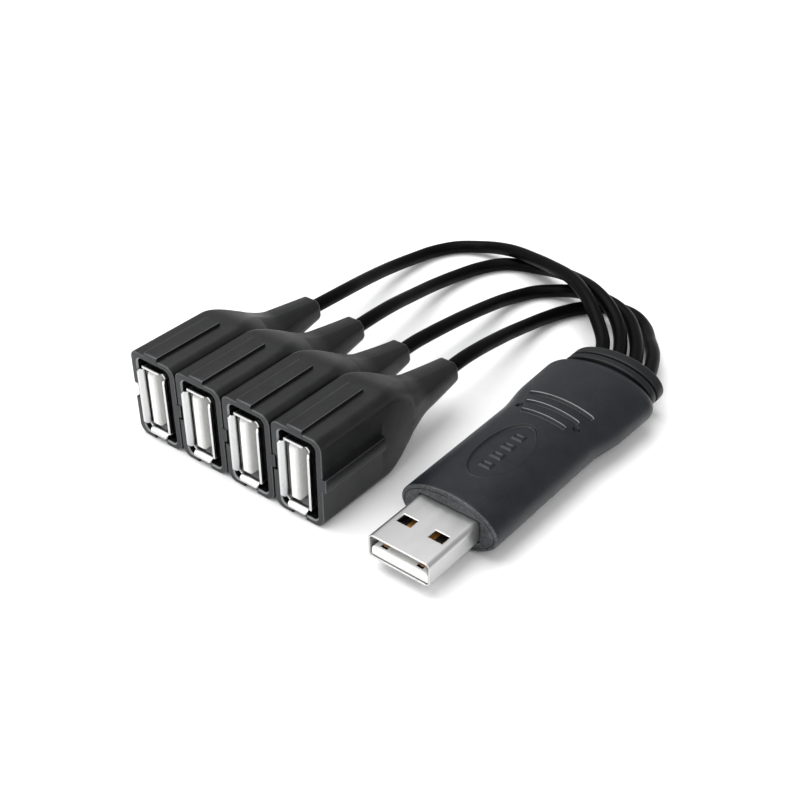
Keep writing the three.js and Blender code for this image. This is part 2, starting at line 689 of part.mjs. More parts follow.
const tongueX = (n) => bootX(n) + SHELL_SHIFT + TONGUE_OFFSET;
const TONGUE_FRONT_Y = SHELL_FRONT_Y + TONGUE_RECESS;
const TONGUE_REAR_Y = TONGUE_FRONT_Y + TONGUE_LENGTH;
const TONGUE_TENON = 1.6; // how far the tongue plugs into the base
const POCKET_REACH = TONGUE_HEIGHT / 2 + CLOSE_GAP; // half-height of the base's pocket
const SPRING_PROUD = 0.12; // how far a contact spring stands out of the tongue
const SPRING_FRONT_Y = TONGUE_FRONT_Y + 4.05; // front ends of the contact springs
const SPRING_TAIL = 0.6; // how far a contact runs out behind the shell

function socketContact(n, x) {
  const face = tongueX(n) + TONGUE_THICKNESS / 2;
  return box(
    [face - CONTACT_THICKNESS + SPRING_PROUD, SPRING_FRONT_Y, SHELL_Z + x - CONTACT_WIDTH / 2],
    [face + SPRING_PROUD, SHELL_REAR_Y + SPRING_TAIL, SHELL_Z + x + CONTACT_WIDTH / 2],
  );
}

// Cuts the slots for the four contact springs out of one of socket n's white mouldings.
function withContactSlots(moulding, n) {
  const face = tongueX(n) + TONGUE_THICKNESS / 2;
  const reach = CONTACT_WIDTH / 2 + CLOSE_GAP;
  const floor = face - CONTACT_THICKNESS + SPRING_PROUD - CLOSE_GAP;
  let body = moulding;
  for (const pitch of CONTACT_PITCH) {
    const slot = box(
      [floor, SPRING_FRONT_Y - CLOSE_GAP, SHELL_Z + pitch - reach],
      [face + SPRING_PROUD + CLOSE_GAP, SHELL_REAR_Y + 1, SHELL_Z + pitch + reach],
    );
    body = body.subtract(solid(slot));
  }
  return geometryOf(body);
}

// The tongue, with a chamfered front and a tenon that plugs into the base.
function socketTongue(n) {
  const x = tongueX(n);
  const full = roundedRectangle(TONGUE_THICKNESS / 2, TONGUE_HEIGHT / 2, 0.3, 1);
  const nose = roundedRectangle(TONGUE_THICKNESS / 2 - 0.35, TONGUE_HEIGHT / 2 - 0.5, 0.2, 1);
  const tongue = loft([
    { y: TONGUE_FRONT_Y, x, z: SHELL_Z, ring: nose },
    { y: TONGUE_FRONT_Y + 0.6, x, z: SHELL_Z, ring: full },
    { y: TONGUE_REAR_Y + TONGUE_TENON, x, z: SHELL_Z, ring: full },
  ]);
  return withContactSlots(solid(tongue), n);
}

// The base that fills the shell behind the tongue.
function socketBase(n) {
  const block = roundedBar(
    bootX(n) + SHELL_SHIFT, SHELL_Z,
    RECEPTACLE_HEIGHT - 2 * CLOSE_GAP, RECEPTACLE_WIDTH - 2 * CLOSE_GAP, 0.5,
    TONGUE_REAR_Y, SHELL_REAR_Y - GAP,
  );
  const pocket = box(
    [tongueX(n) - TONGUE_THICKNESS / 2 - CLOSE_GAP, TONGUE_REAR_Y - 1, SHELL_Z - POCKET_REACH],
    [
      tongueX(n) + TONGUE_THICKNESS / 2 + CLOSE_GAP,
      TONGUE_REAR_Y + TONGUE_TENON + CLOSE_GAP,
      SHELL_Z + POCKET_REACH,
    ],
  );
  return withContactSlots(solid(block).subtract(solid(pocket)), n);
}

// ---- cables ----

// Each route runs from the rear of a boot, down to the table, round in a wide arc and up to the collar.
// The cables cross on the way: each passes over those with a higher number.
const bootExit = (n) => [bootX(n), MOUTH_Y + BOOT_LENGTH + GAP, BOOT_Z - BOOT_DROOP[n]];
const collarEntry = (n) => [HUB_X + (n - 1.5) * COLLAR_PITCH, HUB_REAR_Y + GAP, AXIS_Z];

const ROUTES = [
  [
    [-30.92, 14.42, 8.48], [-31.6, 21.4, 7.6], [-33.5, 30.4, 5.55], [-35.1, 39.8, 3.4],
    [-35.2, 47.9, 2.1], [-34.27, 54.36, 1.51], [-31.49, 59.29, 1.47], [-27.27, 61.86, 1.83],
    [-22.63, 62.13, 2.97], [-17.2, 61.05, 4.35], [-11.3, 58.95, 5.6], [-4.9, 56.2, 6.95],
    [2.1, 52.5, 8.3], [8.9, 47.7, 8.3], [13.9, 43.39, 7.11], [17.69, 39.5, 5.65],
    [19.59, 35.47, 4.91],
  ],
  [
    [-19.82, 14.41, 8.39], [-20.8, 21.9, 7.3], [-22.4, 31.4, 5.05], [-23.6, 40.4, 3],
    [-23.3, 48.4, 1.85], [-21.8, 54.69, 1.45], [-18.98, 59.08, 1.48], [-15.72, 61.23, 1.45],
    [-11.45, 61.92, 1.81], [-5.51, 59.83, 3.88], [1, 56.39, 6.05], [7.3, 52.8, 7.45],
    [12.1, 49.9, 7.4], [16.1, 47, 6.4], [19.77, 42.63, 5.38], [22.99, 35.81, 4.75],
  ],
  [
    [-8.7, 14.4, 7.4], [-8.6, 20.6, 6.9], [-8.8, 28.9, 5.65], [-9.1, 37.6, 3.95],
    [-9.19, 45.19, 2.31], [-8.23, 50.33, 1.55], [-6.51, 53.75, 1.43], [-4.12, 55.75, 1.59],
    [-1.34, 56.58, 2.23], [2.81, 56.08, 3.55], [8.17, 54.4, 4.99], [13.1, 53.12, 5.09],
    [17.2, 50.51, 5], [20.8, 46.4, 5], [23.98, 41.61, 4.91], [26.48, 35.82, 4.69],
  ],
  [
    [2.4, 14.4, 8.09], [2.2, 19.6, 7.5], [1.7, 25.6, 6.25], [1.1, 32.1, 4.65], [0.8, 39, 3],
    [1.06, 45.1, 1.85], [2.31, 49.89, 1.46], [4.52, 53.78, 1.45], [7.36, 56.65, 1.44],
    [11.06, 58.14, 1.45], [14.88, 57.69, 1.45], [18.74, 54.95, 1.55], [22.39, 49.89, 2.4],
    [26.33, 44.05, 3.64], [29.73, 35.9, 4.54],
  ],
];

function cableCurve(n) {
  const points = [bootExit(n), ...ROUTES[n], collarEntry(n)];
  return new THREE.CatmullRomCurve3(points.map((p) => new THREE.Vector3(...p)));
}

function cable(n) {
  const curve = cableCurve(n);
  const section = new THREE.Shape();
  for (let i = 0; i < 8; i++) {
    const angle = (i / 8) * 2 * Math.PI;
    const point = [(CABLE_DIAMETER / 2) * Math.cos(angle), (CABLE_DIAMETER / 2) * Math.sin(angle)];
    if (i === 0) section.moveTo(...point);
    else section.lineTo(...point);
  }
  section.closePath();
  const steps = Math.round(curve.getLength() / CABLE_STEP);
  return new THREE.ExtrudeGeometry(section, { steps, extrudePath: curve, bevelEnabled: false });
}

// ---- the assembly ----

addMesh("hub_sleeve", hubSleeve(), SLEEVE_PVC);
addMesh("hub_front_plate", hubFrontPlate(), SLEEVE_PVC);
addMesh("hub_cable_collar", hubCollar(), SLEEVE_PVC);
addMesh("hub_inner_mould", hubInnerMould(), INNER_PE);
addMesh("hub_board", hubBoard(), BOARD);
addMesh("hub_chip", onBoard(CHIP), CHIP_EPOXY);
addMesh("hub_crystal", onBoard(CRYSTAL), STEEL);
CAPACITORS.forEach((c, i) => addMesh(`hub_capacitor_${i + 1}`, onBoard(c), TANTALUM));
addMesh("plug_shell", plugShell(), STEEL);
addMesh("plug_insulator", plugInsulator(), WHITE_PBT);
CONTACT_PITCH.forEach((x, i) => addMesh(`plug_contact_${i + 1}`, plugContact(x), GOLD));

for (let n = 0; n < SOCKETS; n++) {
  const name = `socket_${n + 1}`;
  addMesh(`${name}_boot`, socketBoot(n), BOOT_PVC);
  addMesh(`${name}_inner_mould`, socketInnerMould(n), INNER_PE);
  addMesh(`${name}_shell`, socketShell(n), STEEL);
  addMesh(`${name}_tongue`, socketTongue(n), WHITE_PBT);
  addMesh(`${name}_base`, socketBase(n), WHITE_PBT);
  CONTACT_PITCH.forEach((x, i) => addMesh(`${name}_contact_${i + 1}`, socketContact(n, x), GOLD));
  addMesh(`cable_${n + 1}`, cable(n), CABLE_PVC);
}

export default part;
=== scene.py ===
"""A USB hub: an oval moulded body with a plug, four thin cables, and four upright sockets in soft boots.

Sizes in this script are millimetres in the object's frame, and each mesh is written in metres."""

import math

import bmesh
import bpy
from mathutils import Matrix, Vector


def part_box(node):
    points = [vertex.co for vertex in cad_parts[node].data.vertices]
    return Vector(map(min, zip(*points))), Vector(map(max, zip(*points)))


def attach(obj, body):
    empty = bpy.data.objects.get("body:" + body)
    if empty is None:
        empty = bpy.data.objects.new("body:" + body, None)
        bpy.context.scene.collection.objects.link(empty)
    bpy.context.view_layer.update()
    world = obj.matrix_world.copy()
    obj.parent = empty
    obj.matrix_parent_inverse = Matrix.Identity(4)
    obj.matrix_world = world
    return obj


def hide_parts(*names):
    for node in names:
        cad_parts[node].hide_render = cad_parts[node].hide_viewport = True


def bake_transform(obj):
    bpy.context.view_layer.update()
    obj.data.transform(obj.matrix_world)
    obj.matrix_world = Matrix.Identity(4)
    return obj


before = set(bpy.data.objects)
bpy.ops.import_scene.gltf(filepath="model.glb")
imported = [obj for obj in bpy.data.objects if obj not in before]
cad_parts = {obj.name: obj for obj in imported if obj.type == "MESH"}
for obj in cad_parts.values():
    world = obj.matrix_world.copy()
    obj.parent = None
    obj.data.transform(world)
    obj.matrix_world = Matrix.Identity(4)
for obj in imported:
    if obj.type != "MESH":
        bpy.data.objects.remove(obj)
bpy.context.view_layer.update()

MM = 0.001
SOCKETS = (1, 2, 3, 4)


def node_box(name):
    """Lowest and highest corners of a CAD node in millimetres."""
    low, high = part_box(name)
    return low / MM, high / MM


# ---- camera, floor and light ----

AIM = Vector((1.52, -2.96, 8.0)) * MM
AZIMUTH, ELEVATION = math.radians(38.49), math.radians(35.0)
DISTANCE = 220.87 * MM
LENS = 56.33


def direction(azimuth, elevation):
    flat = math.cos(elevation)
    return Vector((math.sin(azimuth) * flat, -math.cos(azimuth) * flat, math.sin(elevation)))


def add_object(name, data):
    made = bpy.data.objects.new(name, data)
    bpy.context.scene.collection.objects.link(made)
    return made


camera = add_object("camera", bpy.data.cameras.new("camera"))
camera.data.sensor_width = 36
camera.data.lens = LENS
camera.data.clip_start, camera.data.clip_end = 0.01, 20
camera.location = AIM + direction(AZIMUTH, ELEVATION) * DISTANCE
camera.rotation_mode = "QUATERNION"
camera.rotation_quaternion = (AIM - camera.location).to_track_quat("-Z", "Y")
bpy.context.scene.camera = camera
bpy.context.scene.view_settings.view_transform = "Standard"


def area_light(name, azimuth, elevation, distance, size, power):
    lamp = bpy.data.lights.new(name, "AREA")
    lamp.shape = "DISK"
    lamp.size = size
    lamp.energy = power
    made = add_object(name, lamp)
    made.location = direction(math.radians(azimuth), math.radians(elevation)) * distance
    made.rotation_mode = "QUATERNION"
    made.rotation_quaternion = (-made.location).to_track_quat("-Z", "Y")


area_light("over_light", -80, 70, 1.0, 1.2, 12.0)
area_light("front_light", -15, 22, 1.0, 0.6, 2.6)
area_light("right_light", 65, 42, 1.0, 0.9, 3.2)

world = bpy.data.worlds.new("studio")
world.use_nodes = True
world.node_tree.nodes["Background"].inputs["Color"].default_value = (1, 1, 1, 1)
world.node_tree.nodes["Background"].inputs["Strength"].default_value = 0.48
bpy.context.scene.world = world

# ---- materials ----


def link(tree, source, target):
    tree.links.new(source, target)


def noise(tree, coordinates, scale, detail=4.0, roughness=0.55):
    made = tree.nodes.new("ShaderNodeTexNoise")
    made.inputs["Scale"].default_value = scale
    made.inputs["Detail"].default_value = detail
    made.inputs["Roughness"].default_value = roughness
    link(tree, coordinates, made.inputs["Vector"])
    return made.outputs["Fac"]


def spread(tree, value, low, high, out_low, out_high):
    """value from low to high becomes a value from out_low to out_high."""
    made = tree.nodes.new("ShaderNodeMapRange")
    for key, number in (("From Min", low), ("From Max", high), ("To Min", out_low), ("To Max", out_high)):
        made.inputs[key].default_value = number
    link(tree, value, made.inputs["Value"])
    return made.outputs["Result"]


def shades(tree, factor, dark, light):
    made = tree.nodes.new("ShaderNodeMix")
    made.data_type = "RGBA"
    link(tree, factor, made.inputs["Factor"])
    made.inputs["A"].default_value = (*dark, 1)
    made.inputs["B"].default_value = (*light, 1)
    return made.outputs["Result"]


def surface(
    name, color, roughness, metallic=0.0, grain=5000, mottle=260, variation=0.12,
    bump=0.2, depth=0.02, specular=0.5, coat=0.0, stretch=(1, 1, 1),
):
    """A material with fine grain, broad unevenness and bump.

    grain and mottle are scales per metre, and depth is the bump's in millimetres."""
    made = bpy.data.materials.new(name)
    made.use_nodes = True
    tree = made.node_tree
    shader = tree.nodes["Principled BSDF"]
    place = tree.nodes.new("ShaderNodeTexCoord")
    mapping = tree.nodes.new("ShaderNodeMapping")
    mapping.inputs["Scale"].default_value = stretch
    link(tree, place.outputs["Object"], mapping.inputs["Vector"])
    vector = mapping.outputs["Vector"]
    fine = noise(tree, vector, grain)
    broad = noise(tree, vector, mottle, detail=3.0)
    mixed = tree.nodes.new("ShaderNodeMath")
    mixed.operation = "MULTIPLY_ADD"
    link(tree, fine, mixed.inputs[0])
    mixed.inputs[1].default_value = 0.6
    half = tree.nodes.new("ShaderNodeMath")
    half.operation = "MULTIPLY"
    half.inputs[1].default_value = 0.4
    link(tree, broad, half.inputs[0])
    link(tree, half.outputs["Value"], mixed.inputs[2])
    factor = spread(tree, mixed.outputs["Value"], 0.35, 0.65, 0.0, 1.0)
    dark = [c * (1 - variation) for c in color]
    light = [min(1.0, c * (1 + variation)) for c in color]
    link(tree, shades(tree, factor, dark, light), shader.inputs["Base Color"])
    link(
        tree,
        spread(tree, broad, 0.3, 0.7, roughness * 0.88, min(1.0, roughness * 1.12)),
        shader.inputs["Roughness"],
    )
    relief = tree.nodes.new("ShaderNodeBump")
    relief.inputs["Strength"].default_value = bump
    relief.inputs["Distance"].default_value = depth * MM
    link(tree, fine, relief.inputs["Height"])
    link(tree, relief.outputs["Normal"], shader.inputs["Normal"])
    shader.inputs["Metallic"].default_value = metallic
    shader.inputs["Specular IOR Level"].default_value = specular
    shader.inputs["Coat Weight"].default_value = coat
    return made


HUB = surface(
    "hub_plastic", (0.0054, 0.0074, 0.0102), 0.4, grain=2700, variation=0.4,
    bump=0.6, depth=0.04, specular=0.34,
)
PLATE = surface(
    "front_plate_plastic", (0.040, 0.044, 0.048), 0.5, grain=2600, variation=0.95,
    bump=1.0, depth=0.08, specular=0.45,
)
COLLAR = surface(
    "collar_plastic", (0.0045, 0.0052, 0.0060), 0.42, grain=4200, variation=0.25,
    bump=0.3, depth=0.03, specular=0.28,
)
BOOT = surface(
    "boot_plastic", (0.0045, 0.0047, 0.0052), 0.42, grain=2700, variation=0.5,
    bump=0.7, depth=0.04, specular=0.33,
)
# painted light: a lighter copy of the boot plastic for the boot's front face, as if lit from the front
BOOT_FRONT_PAINTED_LIGHT = surface(
    "boot_front_painted_light", (0.0155, 0.0172, 0.0190), 0.45, grain=4600, variation=0.3,
    bump=0.4, depth=0.03, specular=0.34,
)
# painted highlight on the boots' rib crests and on their rounded outer front edges
BOOT_EDGE_PAINTED_HIGHLIGHT = surface(
    "boot_edge_painted_highlight", (0.055, 0.057, 0.060), 0.36, grain=4600, variation=0.35,
    bump=0.3, depth=0.02, specular=0.5,
)
# painted highlight on the boots' mouth chamfers and on the crests of the hub's ridges
STRONG_PAINTED_HIGHLIGHT = surface(
    "strong_painted_highlight", (0.20, 0.205, 0.21), 0.36, grain=4600, variation=0.3,
    bump=0.2, depth=0.02, specular=0.5,
)
CABLE = surface(
    "cable_plastic", (0.0009, 0.0009, 0.0010), 0.42, grain=3000, variation=0.3,
    bump=0.1, depth=0.01, specular=0.06,
)
STEEL = surface(
    "plated_steel", (0.64, 0.645, 0.645), 0.34, metallic=1.0, grain=5200, variation=0.08,
    bump=0.25, depth=0.01, stretch=(1, 0.12, 1),
)
PLUG_STEEL = surface(
    "plug_steel", (0.55, 0.55, 0.55), 0.38, metallic=1.0, grain=5200, variation=0.03,
    bump=0.08, depth=0.005, stretch=(1, 0.3, 1),
)
WHITE = surface(
    "white_plastic", (0.80, 0.80, 0.78), 0.42, grain=2600, variation=0.05, bump=0.1, depth=0.01
)
GOLD = surface(
    "gold_plating", (0.80, 0.40, 0.10), 0.42, metallic=0.45, grain=3600, variation=0.12, bump=0.1, depth=0.005
)
MOULD = surface("inner_mould", (0.25, 0.26, 0.24), 0.55, grain=2200, variation=0.08)
BOARD = surface("board_mask", (0.012, 0.10, 0.034), 0.38, grain=1800, variation=0.2, depth=0.01)
EPOXY = surface("chip_epoxy", (0.011, 0.011, 0.012), 0.5, grain=4500, variation=0.15)
# painted shade inside the plug's carrier: behind its white front, and in the pockets before the outer
# contacts
CARRIER_PAINTED_SHADE = surface("carrier_painted_shade", (0.022, 0.019, 0.017), 0.6, grain=3000, variation=0.4)
TANTALUM = surface("capacitor_case", (0.57, 0.24, 0.03), 0.42, grain=3000, variation=0.1)
FLOOR = surface("floor_paper", (0.93, 0.93, 0.93), 0.75, grain=900, variation=0.01, bump=0.03)

# ---- meshes ----


def make_mesh(name, points, faces, material, sharp=38.0, body=None, nodes=(), finish=None):
    """A smooth-shaded piece from points in millimetres, with creases where faces meet sharply."""
    data = bpy.data.meshes.new(name)
    data.from_pydata([Vector(p) * MM for p in points], [], faces)
    data.validate()
    data.materials.append(material)
    data.shade_smooth()
    data.set_sharp_from_angle(angle=math.radians(sharp))
    made = add_object(name, data)
    if body:
        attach(made, body)
    if nodes:
        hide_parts(*nodes)
    return made


def loft(rings, closed=False):
    """Points and faces through rings of equal length.

    closed joins the last ring to the first. Otherwise both ends are capped."""
    count = len(rings[0])
    points = [p for ring in rings for p in ring]
    faces = []
    spans = len(rings) if closed else len(rings) - 1
    for s in range(spans):
        here, there = s * count, ((s + 1) % len(rings)) * count
        for i in range(count):
            j = (i + 1) % count
            faces.append((here + i, here + j, there + j, there + i))
    if not closed:
        faces.append(tuple(reversed(range(count))))
        faces.append(tuple(range((len(rings) - 1) * count, len(rings) * count)))
    return points, faces


def add_finishes(obj, *materials):
    """Gives a piece more materials, which its faces then choose by number. Number 0 is its first one."""
    for material in materials:
        obj.data.materials.append(material)


def outward(obj):
    """Turns every face to the outside."""
    work = bmesh.new()
    work.from_mesh(obj.data)
    bmesh.ops.recalc_face_normals(work, faces=work.faces)
    work.to_mesh(obj.data)
    work.free()
    return obj


def soften(obj, width, segments=2, angle=32.0):
    """Rounds the sharp edges of a piece by width, in millimetres."""
    edge = obj.modifiers.new("soft_edges", "BEVEL")
    edge.width = width * MM
    edge.segments = segments
    edge.limit_method = "ANGLE"
    edge.angle_limit = math.radians(angle)
    edge.use_clamp_overlap = True
    return obj


def smoothstep(t):
    t = min(1.0, max(0.0, t))
    return t * t * (3 - 2 * t)


def ramp(v, low, high):
    return min(1.0, max(0.0, (v - low) / (high - low)))


def mix(a, b, t):
    return a + (b - a) * t


def quarter(t):
    """From 1 at t=0 down to 0 at t=1, along a quarter circle that starts steeply."""
    return 1 - math.sqrt(max(0.0, 1 - (1 - t) ** 2))


CORNER_STEPS = 10
FOOT = 0.12  # rounding at the foot and the crest of a rib or groove
FEATURE_MARGIN = 0.05  # from the last foot of a rib or groove to where the corner's own points begin
ARC_SHARE = 0.6  # how much of a corner's radius a rib or groove may take


def feature(centre, half, height):
    """Places along a side, and heights, of one rib (height above 0) or groove (below 0)."""
    edge = math.copysign(min(FOOT, abs(height)), height) if height else 0.0
    rise = [
        (-half - FOOT, 0.0), (-half, edge * 0.4), (-half + 0.02, height - edge * 0.4), (-half + FOOT, height),
    ]
    return [(centre + s, d) for s, d in rise] + [(centre - s, d) for s, d in reversed(rise)]


def straight_ends(half_x, half_z, radii):
    """How far each straight side reaches either way from its middle, from the corners' radii."""
    spans = (half_z, half_x, half_z, half_x)
    return [(spans[k] - radii[k - 1], spans[k] - radii[k]) for k in range(4)]


def outline(half_x, half_z, radii, sides=((), (), (), ())):
    """Points of a rounded rectangle, anticlockwise from its +X side.

    radii are those of the corners between +X and +Z, +Z and -X, and so on. sides holds, for +X, +Z, -X
    and -Z, the ribs and grooves as (centre, half width, height). They may run on into the corners' arcs."""
    straight = straight_ends(half_x, half_z, radii)
    profiles = [[point for each in side for point in feature(*each)] for side in sides]
    squeeze, leans = [], []
    for side in range(4):
        for end, radius in ((0, radii[side - 1]), (1, radii[side])):
            sign = 2 * end - 1
            needed = max([0.0] + [sign * s + FEATURE_MARGIN for s, _ in profiles[side]])
            room = straight[side][end] + ARC_SHARE * radius
            squeeze.append(min(1.0, room / needed) if needed else 1.0)
            beyond = needed * squeeze[-1] - straight[side][end]
            leans.append(math.asin(max(0.0, beyond) / radius))
    points = []
    for side in range(4):
        turn = side * math.pi / 2
        normal = (round(math.cos(turn)), round(math.sin(turn)))
        along = (-normal[1], normal[0])
        reach = half_x if side % 2 == 0 else half_z
        for s, d in profiles[side] or [(0.0, 0.0)]:
            end = 0 if s < 0 else 1
            place = s * squeeze[2 * side + end]
            radius = radii[side - 1 + end]
            into = max(0.0, abs(place) - straight[side][end])
            skin = reach - radius + math.sqrt(radius * radius - into * into)
            out = skin + d if d > 0 else min(skin, reach + d)
            points.append((normal[0] * out + along[0] * place, normal[1] * out + along[1] * place))
        radius = radii[side]
        far = straight[side][1]
        corner = (
            normal[0] * (reach - radius) + along[0] * far,
            normal[1] * (reach - radius) + along[1] * far,
        )
        first, last = leans[2 * side + 1], math.pi / 2 - leans[(2 * side + 2) % 8]
        for i in range(CORNER_STEPS + 1):
            angle = turn + mix(first, last, i / CORNER_STEPS)
            points.append((corner[0] + radius * math.cos(angle), corner[1] + radius * math.sin(angle)))
    return points


def placed(ring, x, y, z):
    return [(x + px, y, z + pz) for px, pz in ring]


def ellipse(half_x, half_z, steps):
    return [
        (half_x * math.cos(2 * math.pi * i / steps), half_z * math.sin(2 * math.pi * i / steps))
        for i in range(steps)
    ]


# ---- where things are ----

sleeve_low, sleeve_high = node_box("hub_sleeve")
plug_low, plug_high = node_box("plug_shell")
_, collar_high = node_box("hub_cable_collar")
HUB_X = (sleeve_low.x + sleeve_high.x) / 2
HUB_FRONT_Y = sleeve_low.y
AXIS_Z = (plug_low.z + plug_high.z) / 2
COLLAR_REAR_Y = collar_high.y
RIB_PROUD = 0.75


def boot_centre(n):
    """Middle of a socket's boot in X and Z, and the Y of its mouth and its rear."""
    low, high = node_box(f"socket_{n}_boot")
    return (low.x + high.x - RIB_PROUD) / 2, (high.z - RIB_PROUD) / 2, low.y, high.y


# ---- cables ----

CABLE_DIAMETER = 2.75
CABLE_STEP = 0.5
CABLE_INSET = 1.2  # how far a cable goes on inside its boot and the collar
COLLAR_PITCH = 3.4
BOOT_DROOP = (0, 0.4, 1.3, 0.75)  # how far the rear of each soft boot sags

# The points that each cable passes between its boot and the collar.
ROUTES = [
    [
        (-30.92, 14.42, 8.48), (-31.6, 21.4, 7.6), (-33.5, 30.4, 5.55), (-35.1, 39.8, 3.4),
        (-35.2, 47.9, 2.1), (-34.27, 54.36, 1.51), (-31.49, 59.29, 1.47), (-27.27, 61.86, 1.83),
        (-22.63, 62.13, 2.97), (-17.2, 61.05, 4.35), (-11.3, 58.95, 5.6), (-4.9, 56.2, 6.95),
        (2.1, 52.5, 8.3), (8.9, 47.7, 8.3), (13.9, 43.39, 7.11), (17.69, 39.5, 5.65),
        (19.59, 35.47, 4.91),
    ],
    [
        (-19.82, 14.41, 8.39), (-20.8, 21.9, 7.3), (-22.4, 31.4, 5.05), (-23.6, 40.4, 3),
        (-23.3, 48.4, 1.85), (-21.8, 54.69, 1.45), (-18.98, 59.08, 1.48), (-15.72, 61.23, 1.45),
        (-11.45, 61.92, 1.81), (-5.51, 59.83, 3.88), (1, 56.39, 6.05), (7.3, 52.8, 7.45),
        (12.1, 49.9, 7.4), (16.1, 47, 6.4), (19.77, 42.63, 5.38), (22.99, 35.81, 4.75),
    ],
    [
        (-8.7, 14.4, 7.4), (-8.6, 20.6, 6.9), (-8.8, 28.9, 5.65), (-9.1, 37.6, 3.95),
        (-9.19, 45.19, 2.31), (-8.23, 50.33, 1.55), (-6.51, 53.75, 1.43), (-4.12, 55.75, 1.59),
        (-1.34, 56.58, 2.23), (2.81, 56.08, 3.55), (8.17, 54.4, 4.99), (13.1, 53.12, 5.09),
        (17.2, 50.51, 5), (20.8, 46.4, 5), (23.98, 41.61, 4.91), (26.48, 35.82, 4.69),
    ],
    [
        (2.4, 14.4, 8.09), (2.2, 19.6, 7.5), (1.7, 25.6, 6.25), (1.1, 32.1, 4.65), (0.8, 39, 3),
        (1.06, 45.1, 1.85), (2.31, 49.89, 1.46), (4.52, 53.78, 1.45), (7.36, 56.65, 1.44),
        (11.06, 58.14, 1.45), (14.88, 57.69, 1.45), (18.74, 54.95, 1.55), (22.39, 49.89, 2.4),
        (26.33, 44.05, 3.64), (29.73, 35.9, 4.54),
    ],
]


def catmull_rom(points, step):
    """A smooth line through the points, as evenly spaced points about step apart."""
    ends = [points[0] * 2 - points[1], *points, points[-1] * 2 - points[-2]]
    fine = []
    for a, b, c, d in zip(ends, ends[1:], ends[2:], ends[3:]):
        t1 = math.sqrt((b - a).length)
        t2 = t1 + math.sqrt((c - b).length)
        t3 = t2 + math.sqrt((d - c).length)
        for i in range(40):
            t = mix(t1, t2, i / 40)
            ab = a * ((t1 - t) / t1) + b * (t / t1)
            bc = b * ((t2 - t) / (t2 - t1)) + c * ((t - t1) / (t2 - t1))
            cd = c * ((t3 - t) / (t3 - t2)) + d * ((t - t2) / (t3 - t2))
            abc = ab * ((t2 - t) / t2) + bc * (t / t2)
            bcd = bc * ((t3 - t) / (t3 - t1)) + cd * ((t - t1) / (t3 - t1))
            fine.append(abc * ((t2 - t) / (t2 - t1)) + bcd * ((t - t1) / (t2 - t1)))
    fine.append(points[-1])
    travelled = [0.0]
    for a, b in zip(fine, fine[1:]):
        travelled.append(travelled[-1] + (b - a).length)
    steps = round(travelled[-1] / step)
    even, at = [], 0
    for i in range(steps + 1):
        goal = travelled[-1] * i / steps
        while at < len(fine) - 2 and travelled[at + 1] < goal:
            at += 1
        share = (goal - travelled[at]) / max(1e-9, travelled[at + 1] - travelled[at])
        even.append(fine[at].lerp(fine[at + 1], min(1.0, share)))
    return even


def tube_rings(line, radius, sides=24):
    """Rings round a line that turn with it and don't twist."""
    rings = []
    across = Vector((1, 0, 0))
    for i, point in enumerate(line):
        tangent = (line[min(i + 1, len(line) - 1)] - line[max(i - 1, 0)]).normalized()
        across = (across - tangent * across.dot(tangent)).normalized()
        up = tangent.cross(across)
        turns = [2 * math.pi * k / sides for k in range(sides)]
        rings.append([point + (across * math.cos(turn) + up * math.sin(turn)) * radius for turn in turns])
    return rings


def make_cable(n):
    x, z, _, rear = boot_centre(n)
    out = Vector((x, rear - CABLE_INSET, z - BOOT_DROOP[n - 1]))
    entry_x = HUB_X + (n - 2.5) * COLLAR_PITCH
    entry = Vector((entry_x, COLLAR_REAR_Y - CABLE_INSET, AXIS_Z))
    route = [Vector(p) for p in ROUTES[n - 1]]
    line = catmull_rom([out, *route, entry], CABLE_STEP)
    points, faces = loft(tube_rings(line, CABLE_DIAMETER / 2))
    made = make_mesh(f"cable_{n}_jacket", points, faces, CABLE, nodes=[f"cable_{n}"], finish="cable")
    outward(made)
    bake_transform(made)


for n in SOCKETS:
    make_cable(n)

# ---- boots ----

BOOT_HALF = (5.4, 8.75)
BOOT_CORNERS = (2.0, 1.3, 2.0, 2.0)
BOOT_STRAIGHT, BOOT_SLEEVE, BOOT_LENGTH = 16.6, 30.5, 41.2
CONE_START, CONE_RADII = 24.0, (4.75, 2.5)
BOOT_RIM = 0.9
RIB_LENGTH = 15.2
TOP_RIB, FLANK_RIB = (0.15, 1.6), (0.45, 1.3)  # place along the side, and half width
GROOVE_HALF, GROOVE_DEPTH = 1.55, 0.85
DROOP_START = 20.0
CAVITY_HALF, CAVITY_CORNER, CAVITY_SHIFT = (3.95, 7.65), 1.0, 0.1
CAVITY_DEPTH = 15.9
MOUTH_ROUNDING = 0.3
CABLE_HOLE, CABLE_HOLE_DEPTH, CABLE_HOLE_FLARE = 1.45, 1.6, 0.1
CAVITY_CHAMFER = 0.26
STATION_STEP = 0.45
ROUND_SHARE = 0.94  # most that a corner's radius may be of the section's lesser half
# the boot's further materials: its front face painted lighter as if lit, a painted highlight on its outer
# edges and rib crests, and one on its mouth's chamfer
IN_FRONT_PAINTED_LIGHT, IN_EDGE_HIGHLIGHT, IN_MOUTH_HIGHLIGHT = 1, 2, 3  # numbers of a boot's further materials


def boot_section(t):
    """Half-width, half-height and corner radii at a distance behind the mouth."""
    taper = smoothstep(ramp(t, BOOT_STRAIGHT, BOOT_SLEEVE))
    cone = mix(*CONE_RADII, ramp(t, CONE_START, BOOT_LENGTH))
    half_x, half_z = mix(BOOT_HALF[0], cone, taper), mix(BOOT_HALF[1], cone, taper)
    most = ROUND_SHARE * min(half_x, half_z)
    radii = [min(mix(r, CONE_RADII[0], min(1.0, 1.6 * taper)), most) for r in BOOT_CORNERS]
    return half_x, half_z, radii


def boot_sides(rib, groove_x, groove_z):
    return (
        [(*FLANK_RIB, rib)], [(*TOP_RIB, rib)],
        [(-FLANK_RIB[0], GROOVE_HALF, groove_x)], [(0.0, GROOVE_HALF, groove_z)],
    )


